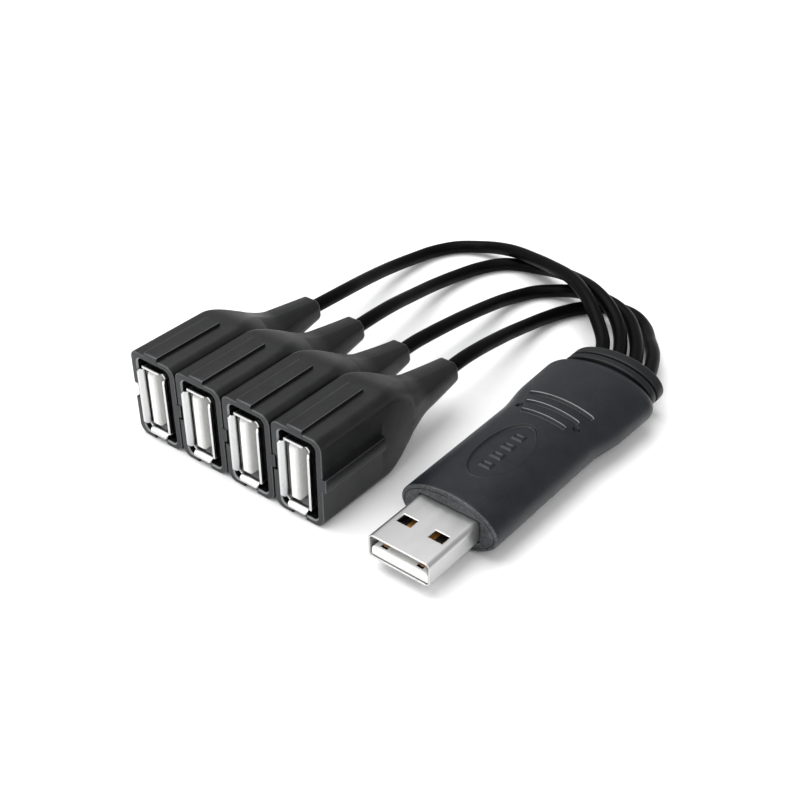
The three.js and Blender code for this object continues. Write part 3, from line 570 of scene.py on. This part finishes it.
def boot_ring(t, inset=0.0):
    half_x, half_z, radii = boot_section(t)
    rib = RIB_PROUD if t <= RIB_LENGTH else 0.0
    groove_x = -min(GROOVE_DEPTH, max(0.0, half_x - BOOT_HALF[0] + GROOVE_DEPTH))
    groove_z = -min(GROOVE_DEPTH, max(0.0, half_z - BOOT_HALF[1] + GROOVE_DEPTH))
    sides = boot_sides(rib, groove_x, groove_z)
    radii = [max(r - inset, 0.3) for r in radii]
    return outline(half_x - inset, half_z - inset, radii, sides)


def plain_ring(half_x, half_z, radius):
    """A rounded rectangle with as many points as a boot's ring."""
    return outline(half_x, half_z, [radius] * 4, boot_sides(0, 0, 0))


def round_ring(radius):
    """A ring that is nearly a circle, with as many points as a boot's ring."""
    return plain_ring(radius, radius, radius * 0.93)


def boot_surface(place, normal):
    """The number of a face's material, from where it is behind the mouth and how it faces. The front face is
    painted lighter, as if lit, and the rounded front edges and the rib crests get painted highlights.
    """
    beyond_x, beyond_z = place.x - BOOT_HALF[0], place.z - BOOT_HALF[1]
    slanted = 0.3 < abs(normal.y) < 0.95
    inside = abs(place.x - CAVITY_SHIFT) < CAVITY_HALF[0] + 0.25 and abs(place.z) < CAVITY_HALF[1] + 0.25
    # painted highlight on the rounded front edges: the mouth's chamfer, and the outer rim
    if 0.02 < place.y < 0.25 and slanted:
        return IN_MOUTH_HIGHLIGHT if inside else IN_EDGE_HIGHLIGHT
    # the front face is painted lighter, as if lit from the front
    if place.y < 0.16 and abs(normal.y) > 0.6:
        return IN_FRONT_PAINTED_LIGHT
    # painted highlight on the crests of the ribs
    top_crest = beyond_z > 0.4 and 0.2 < abs(normal.x) < 0.97
    flank_crest = beyond_x > 0.4 and 0.2 < abs(normal.z) < 0.97
    return IN_EDGE_HIGHLIGHT if (top_crest or flank_crest) and place.y < RIB_LENGTH else 0


def make_boot(n):
    """A soft boot with its ribs and grooves, the cable's hole at its rear, and the hollow at its mouth."""
    x, z, mouth, _ = boot_centre(n)

    def at(t, ring, shift=0.0):
        sag = BOOT_DROOP[n - 1] * smoothstep(ramp(t, DROOP_START, BOOT_LENGTH))
        return placed(ring, x + shift, mouth + t, z - sag)

    rings = []
    # the cable's hole, then the rounded rear rim
    hole, flared = round_ring(CABLE_HOLE), round_ring(CABLE_HOLE + CABLE_HOLE_FLARE)
    rings.append(at(BOOT_LENGTH - CABLE_HOLE_DEPTH, hole))
    rings.append(at(BOOT_LENGTH - 0.12, hole))
    rings.append(at(BOOT_LENGTH, flared))
    for i in range(9):
        angle = i / 8 * math.pi / 2
        t = BOOT_LENGTH - BOOT_RIM * (1 - math.cos(angle))
        rings.append(at(t, boot_ring(t, BOOT_RIM * (1 - math.sin(angle)))))
    # the sleeve, the taper, and the straight part with its ribs
    t = BOOT_LENGTH - BOOT_RIM - STATION_STEP
    while t > RIB_LENGTH + 0.2:
        rings.append(at(t, boot_ring(t)))
        t -= STATION_STEP
    rings.append(at(RIB_LENGTH + 0.02, boot_ring(RIB_LENGTH + 0.02)))
    rings.append(at(RIB_LENGTH, boot_ring(RIB_LENGTH)))
    for t in (RIB_LENGTH - 0.3, 12, 9, 6, 3, 1, 0.5):
        rings.append(at(t, boot_ring(t)))
    for i in range(5):
        angle = i / 4 * math.pi / 2
        rings.append(at(
            MOUTH_ROUNDING * (1 - math.sin(angle)), boot_ring(0, MOUTH_ROUNDING * (1 - math.cos(angle)))
        ))
    # the ring face, the chamfer of the opening, and the hollow
    wide = plain_ring(*(size + CAVITY_CHAMFER for size in (*CAVITY_HALF, CAVITY_CORNER)))
    rings.append(at(0, wide, CAVITY_SHIFT))
    inside = plain_ring(*CAVITY_HALF, CAVITY_CORNER)
    for t in (CAVITY_CHAMFER, CAVITY_CHAMFER + 0.3, CAVITY_DEPTH):
        rings.append(at(t, inside, CAVITY_SHIFT))
    points, faces = loft(rings)
    made = make_mesh(
        f"socket_{n}_boot_skin", points, faces, BOOT, sharp=34,
        body=f"socket_{n}", nodes=[f"socket_{n}_boot"], finish="boot_plastic",
    )
    # painted light: the lighter front face, and painted highlights on the edges, the rib crests and the
    # mouth's chamfer
    add_finishes(made, BOOT_FRONT_PAINTED_LIGHT, BOOT_EDGE_PAINTED_HIGHLIGHT, STRONG_PAINTED_HIGHLIGHT)
    for face in made.data.polygons:
        face.material_index = boot_surface(face.center / MM - Vector((x, mouth, z)), face.normal)
    return outward(made)


for n in SOCKETS:
    make_boot(n)

# ---- receptacles ----

SHEET = 0.3
SHELL_HALF = (2.86, 6.55)
SHELL_CORNER = 0.9
LIP_LENGTH = 0.95
LIP_FLARE = 0.6
LIP_NOSE = 0.5  # thickness of a lip's rounded front edge
LIP_HALVES = (5.75, 2.1)
LIP_ROUNDING, LIP_BEND = 0.4, 0.3  # at a lip's front corners, and along the bend at its root
CONTACT_PITCH = (-3.5, -1.0, 1.0, 3.5)
CHANNEL_HALF = 0.62
TONGUE_HALF, TONGUE_SHIFT = (0.92, 5.55), 0.74  # the tongue stands to the -X side of the shell's middle


def plain_rectangle(half_x, half_z, radius):
    return outline(half_x, half_z, [radius] * 4)


def make_tube(name, x, z, y0, y1, half, corner, wall, **how):
    """A sheet-metal tube of rounded rectangular section, open at both ends."""
    outer = plain_rectangle(*half, corner)
    inner = plain_rectangle(half[0] - wall, half[1] - wall, max(0.15, corner - wall))
    rings = [placed(ring, x, y, z) for ring, y in ((outer, y0), (outer, y1), (inner, y1), (inner, y0))]
    points, faces = loft(rings, closed=True)
    return outward(make_mesh(name, points, faces, **how))


def make_lip(name, x, z, front, toward, how):
    """A lip of bent sheet that leaves the shell's wall and leans out to the front."""
    side_x, side_z = toward
    kind = 0 if side_x else 1
    face, half = SHELL_HALF[kind], LIP_HALVES[kind]
    across, steps = 32, 12
    slope = LIP_FLARE / (LIP_LENGTH - LIP_BEND / 2)
    rings = []
    for k in range(across + 1):
        u = (-1 + 2 * k / across) * half
        over = max(0.0, abs(u) - (half - LIP_ROUNDING)) / LIP_ROUNDING
        recede = LIP_ROUNDING * (1 - math.sqrt(max(0.0, 1 - over * over)))
        outer, inner = [], []
        for i in range(steps + 1):
            y = mix(recede, LIP_LENGTH + 0.4, i / steps)
            short = max(0.0, LIP_LENGTH - y)
            lean = slope * (short - LIP_BEND / 2 if short > LIP_BEND else short ** 2 / (2 * LIP_BEND))
            outer.append((face + lean, y))
            inner.append((face + lean - mix(SHEET, LIP_NOSE, min(1.0, short / LIP_LENGTH)), y))
        nose = [(outer[0][0] - 0.1, recede - 0.1), (inner[0][0] + 0.1, recede - 0.1)]
        rings.append([
            (x + side_x * out + side_z * u, front + y, z + side_z * out + side_x * u)
            for out, y in outer[::-1] + nose + inner
        ])
    points, faces = loft(rings)
    return outward(make_mesh(name, points, faces, **how))


def make_receptacle(n):
    """The steel shell of one receptacle: its tube, and a lip on each of its four sides."""
    low, high = node_box(f"socket_{n}_shell")
    x, z = (low.x + high.x) / 2, (low.z + high.z) / 2
    how = {"material": STEEL, "body": f"socket_{n}", "finish": "steel"}
    tube = make_tube(
        f"socket_{n}_shell_tube", x, z, low.y + LIP_LENGTH, high.y, SHELL_HALF, SHELL_CORNER, SHEET,
        nodes=[f"socket_{n}_shell"], **how,
    )
    soften(tube, 0.06)
    sides = {"right": (1, 0), "left": (-1, 0), "top": (0, 1), "bottom": (0, -1)}
    for word, toward in sides.items():
        make_lip(f"socket_{n}_lip_{word}", x, z, low.y + 0.1, toward, how)


def make_tongue(n):
    """The white tongue with channels for its contacts."""
    low, high = node_box(f"socket_{n}_tongue")
    shell_low, shell_high = node_box(f"socket_{n}_shell")
    contact_low, _ = node_box(f"socket_{n}_contact_1")
    x, z = (shell_low.x + shell_high.x) / 2 - TONGUE_SHIFT, (low.z + high.z) / 2
    channel_start = contact_low.y - low.y - 0.1

    def ring(size, radius, depth=0.0):
        channels = [(pitch, CHANNEL_HALF, -depth) for pitch in CONTACT_PITCH]
        return outline(*size, [radius] * 4, (channels, (), (), ()))

    def shrunk(by):
        return TONGUE_HALF[0] - by, TONGUE_HALF[1] - by * 1.4

    nose = [(0.0, 0.42), (0.03, 0.36), (0.3, 0.16), (0.55, 0.04), (0.75, 0.0)]
    rings = [placed(ring(shrunk(by), 0.22), x, low.y + t, z) for t, by in nose]
    channel = 0.25
    rings.append(placed(ring(TONGUE_HALF, 0.3), x, low.y + channel_start - 0.05, z))
    for t in (channel_start, channel_start + 2, high.y - low.y):
        rings.append(placed(ring(TONGUE_HALF, 0.3, channel), x, low.y + t, z))
    points, faces = loft(rings)
    outward(make_mesh(
        f"socket_{n}_tongue", points, faces, WHITE, sharp=30,
        body=f"socket_{n}", nodes=[f"socket_{n}_tongue"], finish="insulator",
    ))


for n in SOCKETS:
    make_receptacle(n)
    make_tongue(n)

# ---- plug ----

PLUG_HALF = (6.0, 2.25)
PLUG_CORNER = 0.9
WINDOW_X, WINDOW_HALF = 3.1, 1.35
WINDOW_Y = (5.2, 7.2)
POCKET_START = 0.45  # of the pocket before each outer contact, behind the carrier's front
PAINTED_SHADE_START = 3.4  # where the painted shade behind the carrier's white front begins
CARRIER_CORNERS = (0.95, 0.95, 0.22, 0.22)
CARRIER_CHANNEL, CARRIER_POCKET = 0.37, 1.2  # depths


def plug_ring(half, corner):
    """A rounded rectangle with points at the sides of the windows on its top and bottom."""
    near, far = WINDOW_X - WINDOW_HALF, WINDOW_X + WINDOW_HALF
    points = []
    for side in range(4):
        turn = side * math.pi / 2
        normal = (round(math.cos(turn)), round(math.sin(turn)))
        along = (-normal[1], normal[0])
        reach = half[side % 2]
        straight = half[1 - side % 2] - corner
        stops = [-straight, straight]
        if side % 2:
            stops = [-straight, -far, -near, near, far, straight]
        points += [(normal[0] * reach + along[0] * s, normal[1] * reach + along[1] * s) for s in stops]
        corner_x = normal[0] * (reach - corner) + along[0] * straight
        corner_z = normal[1] * (reach - corner) + along[1] * straight
        for i in range(1, 6):
            angle = turn + i / 6 * math.pi / 2
            points.append((corner_x + corner * math.cos(angle), corner_z + corner * math.sin(angle)))
    return points


def make_plug_shell():
    """The folded steel shell, with two latch windows in its top and two in its bottom."""
    front, rear = plug_low.y, plug_high.y
    stations = [front, front + WINDOW_Y[0], front + WINDOW_Y[1], rear]
    outer = plug_ring(PLUG_HALF, PLUG_CORNER)
    inner = plug_ring((PLUG_HALF[0] - SHEET, PLUG_HALF[1] - SHEET), PLUG_CORNER - SHEET)
    count = len(outer)
    points = []
    for skin in (outer, inner):
        for y in stations:
            points += placed(skin, HUB_X, y, AXIS_Z)

    def index(skin, station, i):
        return (skin * len(stations) + station) * count + i % count

    def is_window(i):
        a, b = outer[i], outer[(i + 1) % count]
        middle = abs((a[0] + b[0]) / 2)
        flat = abs(a[1]) == abs(b[1]) == PLUG_HALF[1]
        return flat and abs(middle - WINDOW_X) < 0.1

    faces = []
    for i in range(count):
        for s in range(3):
            if s == 1 and is_window(i):
                corners = [(1, i), (1, i + 1), (2, i + 1), (2, i)]
                for (sa, ia), (sb, ib) in zip(corners, corners[1:] + corners[:1]):
                    faces.append((index(0, sa, ia), index(0, sb, ib), index(1, sb, ib), index(1, sa, ia)))
                continue
            for skin in (0, 1):
                faces.append((
                    index(skin, s, i), index(skin, s, i + 1), index(skin, s + 1, i + 1), index(skin, s + 1, i)
                ))
        for s in (0, 3):
            faces.append((index(0, s, i), index(0, s, i + 1), index(1, s, i + 1), index(1, s, i)))
    made = make_mesh(
        "plug_shell_sheet", points, faces, PLUG_STEEL, sharp=30,
        body="hub", nodes=["plug_shell"], finish="steel",
    )
    soften(outward(made), 0.13, segments=3)


def make_plug_insulator():
    """The white carrier with a channel for each contact, open a little further at the front. Behind its white
    front, and in the pockets, it is painted dark as shade.
    """
    low, high = node_box("plug_insulator")
    z, half = (low.z + high.z) / 2, ((high.x - low.x) / 2, (high.z - low.z) / 2)
    outer_low, _ = node_box("plug_contact_1")
    inner_low, _ = node_box("plug_contact_2")
    outer_start, inner_start = outer_low.y - low.y, inner_low.y - low.y
    outermost = max(CONTACT_PITCH)

    def ring(t, inset=0.0, pocket=False):
        channels = []
        for pitch in CONTACT_PITCH:
            is_outer = abs(pitch) == outermost
            depth = CARRIER_CHANNEL if t > (outer_start if is_outer else inner_start - 0.6) else 0.0
            if pocket and is_outer:
                depth = CARRIER_POCKET
            channels.append((pitch, CHANNEL_HALF, -depth))
        radii = [r - inset for r in CARRIER_CORNERS]
        return outline(half[0] - inset, half[1] - inset, radii, ((), channels, (), ()))

    # each station has its place, its inset, and whether it is in the pockets before the outer contacts
    stations = [(0.0, 0.12, False), (0.05, 0.03, False), (0.12, 0.0, False)]
    stations += [(POCKET_START - 0.01, 0.0, False), (POCKET_START, 0.0, True)]
    stations += [(outer_start, 0.0, True), (outer_start + 0.01, 0.0, False)]
    for t in (inner_start - 0.61, inner_start - 0.59, PAINTED_SHADE_START, high.y - low.y):
        stations.append((t, 0.0, False))
    stations.sort(key=lambda station: station[0])
    rings = [placed(ring(t, inset, pocket), HUB_X, low.y + t, z) for t, inset, pocket in stations]
    points, faces = loft(rings)
    made = make_mesh(
        "plug_carrier", points, faces, WHITE, sharp=30,
        body="hub", nodes=["plug_insulator"], finish="insulator",
    )
    # painted shade: faces behind the white front and in the pockets get the dark material
    add_finishes(made, CARRIER_PAINTED_SHADE)
    for face in made.data.polygons:
        t, height = face.center.y / MM - low.y, face.center.z / MM - z
        from_outer = abs(abs(face.center.x / MM - HUB_X) - outermost)
        along_pocket = POCKET_START - 0.05 < t < outer_start + 0.05
        in_pocket = along_pocket and -half[1] + 0.1 < height < half[1] - 0.05 and from_outer <= 0.7
        if t > PAINTED_SHADE_START or in_pocket:
            face.material_index = 1
    outward(made)


make_plug_shell()
make_plug_insulator()

# ---- hub body ----

HUB_HALF_HEIGHT = 4.95
FRONT_HALF, REAR_HALF, FRONT_TAPER = 9.55, 11.2, 0.15
FLARE = (28.0, 37.5)
SHOULDER_START, SLEEVE_LENGTH, SHOULDER_DEPTH = 45.2, 47.9, 1.6
FRONT_EDGE = (0.35, 0.6)
FRONT_RIM, SLEEVE_WALL, FRONT_SEAT = 0.75, 1.3, 1.9
OVAL_T, OVAL_HALF, RECESS_DEPTH = 15.0, (4.0, 8.4), 0.35
RIDGES = ((27.1, 4.6), (30.0, 5.5), (33.0, 6.6))
RIDGE_HALF, RIDGE_PROUD = 0.34, 0.3
PIT_T, PIT_X, PIT_RADIUS, PIT_DEPTH = 28.5, 5.8, 0.6, 0.75
SQUARE_PITCH, SQUARE_HALF_X, SQUARE_HALF_T = 3.1, 1.15, 0.85
RELIEF_FROM, RELIEF_TO, RELIEF_STEP = 6.35, 34.2, 0.13  # stretch of the crown that has fine stations
# the sleeve's further materials: the plate, a painted highlight on the ridges' crests, and painted shade
# before the ridges, in the pits and along the oval's outline
IN_PLATE, IN_CREST_HIGHLIGHT, IN_PAINTED_SHADE = 1, 2, 3  # numbers of the sleeve's further materials


def sleeve_half(t):
    rear = mix(REAR_HALF - 0.3, REAR_HALF, ramp(t, FLARE[1], SHOULDER_START))
    return mix(FRONT_HALF + FRONT_TAPER * ramp(t, 0, FLARE[0]), rear, smoothstep(ramp(t, *FLARE)))


def sleeve_rounding(t):
    front = FRONT_EDGE[0] * quarter(ramp(t, 0, FRONT_EDGE[1]))
    rear = SHOULDER_DEPTH * quarter(1 - ramp(t, SHOULDER_START, SLEEVE_LENGTH))
    return front + rear


def oval_distance(x, t):
    """About how far a point is outside the oval recess, in millimetres. Inside, it is negative."""
    u, v = x / OVAL_HALF[0], (t - OVAL_T) / OVAL_HALF[1]
    size = math.hypot(u, v)
    slope = math.hypot(u / OVAL_HALF[0], v / OVAL_HALF[1]) / max(size, 1e-6)
    return (size - 1) / max(slope, 1e-6)


def relief(x, t):
    """Height of the moulded details above the crown, at a place seen from above."""
    distance = oval_distance(x, t)
    height = -RECESS_DEPTH * (1 - smoothstep(ramp(distance, -0.24, 0.06)))
    height += 0.05 * math.exp(-((distance - 0.16) / 0.12) ** 2)
    # four plain raised squares, one for each socket, stand in a row on the recess's floor
    for k in (-1.5, -0.5, 0.5, 1.5):
        across, length = abs(x) - SQUARE_HALF_X, abs(t - OVAL_T - SQUARE_PITCH * k) - SQUARE_HALF_T
        square = max(across, length)
        height += 0.24 * (1 - smoothstep(ramp(square, -0.16, 0.04)))
        height -= 0.16 * (1 - smoothstep(ramp(square, -0.56, -0.36)))
    for middle, half in RIDGES:
        across = abs(t - middle) / RIDGE_HALF
        ends = 1 - smoothstep(ramp(abs(x), half - 0.3, half + 0.05))
        height += RIDGE_PROUD * (1 - smoothstep(ramp(across, 0.3, 0.95))) * ends
        height -= 0.22 * math.exp(-(((t - middle + 0.58) / 0.2) ** 2)) * ends
    pit = math.hypot(abs(x) - PIT_X, t - PIT_T)
    return height - PIT_DEPTH * (1 - smoothstep(ramp(pit, PIT_RADIUS - 0.16, PIT_RADIUS + 0.06)))


def crown_angles():
    """Angles round the oval section: close together over the crown, and wider round the sides and under."""
    crown = 7.6
    steps = 132
    tops = [math.acos(mix(crown, -crown, i / steps) / FRONT_HALF) for i in range(steps + 1)]
    gap = 2 * math.pi - (tops[-1] - tops[0])
    rest = 70
    return tops + [tops[-1] + gap * i / rest for i in range(1, rest)]


def sleeve_stations():
    places = [0, 0.03, 0.09, 0.18, 0.3, 0.45, 0.6, 1.2, 2.5, 4, 5.5, 6.2]
    t = RELIEF_FROM
    while t < RELIEF_TO:
        places.append(t)
        t += RELIEF_STEP
    places += [34.6, 35.2, 36, 36.8, 37.6, 38.5, 39.5, 41, 42.5, 44, SHOULDER_START]
    shoulder, steps = SLEEVE_LENGTH - SHOULDER_START, 14
    for i in range(1, steps + 1):
        places.append(SHOULDER_START + shoulder * math.sin(i / steps * math.pi / 2))
    return places


def crown_surface(x, t):
    """The number of a crown face's material: a painted highlight on the ridges' crests, and painted shade
    before each ridge, in the pits and along the oval's outline.
    """
    for middle, half in RIDGES:
        behind = (t - middle) / RIDGE_HALF
        if abs(x) < half and -1.5 < behind < 1.5:
            if abs(behind - 0.1) < 0.3:
                return IN_CREST_HIGHLIGHT
            return IN_PAINTED_SHADE if behind < -0.7 else 0
    in_pit = math.hypot(abs(x) - PIT_X, t - PIT_T) < 0.85 * PIT_RADIUS
    from_oval = math.hypot(x / OVAL_HALF[0], (t - OVAL_T) / OVAL_HALF[1])
    return IN_PAINTED_SHADE if in_pit or abs(from_oval - 1.0) < 0.022 else 0


def make_sleeve():
    """The soft outer skin of the hub, with its moulded details, and the wall inside it."""
    angles = crown_angles()
    rings = []
    for t in sleeve_stations():
        inset = sleeve_rounding(t)
        half_x, half_z = sleeve_half(t) - inset, HUB_HALF_HEIGHT - inset * 0.7
        ring = []
        for angle in angles:
            x, z = half_x * math.cos(angle), half_z * math.sin(angle)
            if z > 1.0:
                z += relief(x, t)
            ring.append((HUB_X + x, HUB_FRONT_Y + t, max(0.0, AXIS_Z + z)))
        rings.append(ring)
    hollow = [(SLEEVE_LENGTH, SLEEVE_WALL), (FRONT_SEAT, SLEEVE_WALL), (FRONT_SEAT, FRONT_RIM)]
    hollow += [(0.12, FRONT_RIM), (0.0, FRONT_RIM - 0.12)]
    for t, wall in hollow:
        rings.append([
            (
                HUB_X + (FRONT_HALF - wall) * math.cos(angle),
                HUB_FRONT_Y + t,
                AXIS_Z + (HUB_HALF_HEIGHT - wall) * math.sin(angle),
            )
            for angle in angles
        ])
    points, faces = loft(rings, closed=True)
    made = make_mesh(
        "hub_sleeve_skin", points, faces, HUB, sharp=55,
        body="hub", nodes=["hub_sleeve"], finish="hub_plastic",
    )
    # the plate's grain on the front, and a painted highlight and painted shade on the crown
    add_finishes(made, PLATE, STRONG_PAINTED_HIGHLIGHT, COLLAR)
    for face in made.data.polygons:
        t = face.center.y / MM - HUB_FRONT_Y
        across = face.center.x / MM - HUB_X
        if t < 0.3:
            face.material_index = IN_PLATE
        elif face.center.z / MM > AXIS_Z + 2:
            face.material_index = crown_surface(across, t)
    outward(made)


def make_front_plate():
    """The grainy plate round the plug, slightly dished, with a rounded rim."""
    steps = 120
    plate_low, plate_high = node_box("hub_front_plate")
    outer = ((plate_high.x - plate_low.x) / 2 + 0.16, (plate_high.z - plate_low.z) / 2 + 0.16)
    opening = (PLUG_HALF[0] + 0.1, PLUG_HALF[1] + 0.1)

    def ring(share, y, inset=0.0):
        made = []
        for i in range(steps):
            angle = 2 * math.pi * i / steps
            c, s = math.cos(angle), math.sin(angle)
            edge = ((outer[0] - inset) * c, (outer[1] - inset) * s)
            power = 2 / 12
            hole = (
                math.copysign(abs(c) ** power, c) * opening[0], math.copysign(abs(s) ** power, s) * opening[1]
            )
            made.append((HUB_X + mix(edge[0], hole[0], share), y, AXIS_Z + mix(edge[1], hole[1], share)))
        return made

    front, rear = HUB_FRONT_Y + 0.02, plate_high.y
    rings = [ring(0, rear), ring(0, front + 0.06), ring(0, front + 0.02, 0.02), ring(0, front, 0.06)]
    rings += [ring(0.15, front + 0.06, 0.18), ring(0.5, front + 0.1, 0.18), ring(0.92, front + 0.08, 0.18)]
    rings += [ring(1, front + 0.16), ring(1, rear)]
    points, faces = loft(rings, closed=True)
    outward(make_mesh(
        "hub_front_cover", points, faces, PLATE, sharp=50, body="hub",
        nodes=["hub_front_plate"], finish="hub_plastic",
    ))


def make_collar():
    """The rear strain relief: two rounded oval rings with a groove before each."""
    neck, ring_size, end = (8.6, 3.9), (9.6, 4.65), (8.8, 4.0)
    tenon = (FRONT_HALF - SLEEVE_WALL - 0.3, HUB_HALF_HEIGHT - SLEEVE_WALL - 0.3)
    start = SLEEVE_LENGTH
    length = COLLAR_REAR_Y - HUB_FRONT_Y

    def swell(a, b, share):
        return mix(a[0], b[0], share), mix(a[1], b[1], share)

    stations = [(44.4, tenon), (start - 0.05, tenon), (start + 0.02, neck), (start + 0.6, neck)]
    for first, last in ((start + 0.7, start + 2.4), (start + 2.9, length)):
        rounding = 0.28
        for i in range(5):
            angle = i / 4 * math.pi / 2
            share = mix(0.55, 1.0, math.sin(angle))
            stations.append((first + rounding * (1 - math.cos(angle)), swell(neck, ring_size, share)))
        is_end = last == length
        inner = end if is_end else neck
        rounding = 0.6 if is_end else 0.28
        for i in range(6):
            angle = i / 5 * math.pi / 2
            share = mix(0.1 if is_end else 0.55, 1.0, math.cos(angle))
            stations.append((last - rounding * (1 - math.sin(angle)), swell(inner, ring_size, share)))
        if not is_end:
            stations += [(last + 0.05, neck), (last + 0.45, neck)]
    rings = [placed(ellipse(*half, 96), HUB_X, HUB_FRONT_Y + t, AXIS_Z) for t, half in stations]
    points, faces = loft(rings)
    outward(make_mesh(
        "hub_collar_rings", points, faces, COLLAR, sharp=50, body="hub",
        nodes=["hub_cable_collar"], finish="hub_plastic",
    ))


def make_grommets():
    """A soft bead where each cable goes into the collar."""
    for n in SOCKETS:
        x = HUB_X + (n - 2.5) * COLLAR_PITCH
        profile = [(1.42, -0.5), (1.42, -0.02), (1.45, 0.09), (1.53, 0.14), (1.61, 0.09)]
        profile += [(1.66, -0.05), (1.67, -0.5)]
        rings = [placed(ellipse(r, r, 32), x, COLLAR_REAR_Y + out, AXIS_Z) for r, out in profile]
        points, faces = loft(rings, closed=True)
        outward(make_mesh(f"collar_bead_{n}", points, faces, COLLAR, body="hub", finish="hub_plastic"))


make_sleeve()
make_front_plate()
make_collar()
make_grommets()

# ---- finishes of the CAD solids that are kept as they are ----

KEPT = {
    "hub_inner_mould": MOULD, "hub_board": BOARD, "hub_chip": EPOXY, "hub_crystal": STEEL,
    "hub_capacitor_1": TANTALUM, "hub_capacitor_2": TANTALUM,
}
for i in SOCKETS:
    KEPT[f"plug_contact_{i}"] = GOLD
    KEPT[f"socket_{i}_inner_mould"] = MOULD
    KEPT[f"socket_{i}_base"] = WHITE
    for k in SOCKETS:
        KEPT[f"socket_{i}_contact_{k}"] = GOLD
for name, material in KEPT.items():
    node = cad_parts[name]
    for place in node.material_slots:
        place.material = material

# ---- floor ----

FLOOR_REACH = 2.0  # metres from the middle to each edge
FLOOR_DROP = 0.02 * MM  # keeps the floor clear of what rests on it
FLOOR_CORNERS = [(x * FLOOR_REACH, y * FLOOR_REACH, 0) for x, y in ((-1, -1), (1, -1), (1, 1), (-1, 1))]

floor_data = bpy.data.meshes.new("floor")
floor_data.from_pydata(FLOOR_CORNERS, [], [(0, 1, 2, 3)])
floor_data.materials.append(FLOOR)
floor = add_object("floor", floor_data)
floor.location.z = -FLOOR_DROP
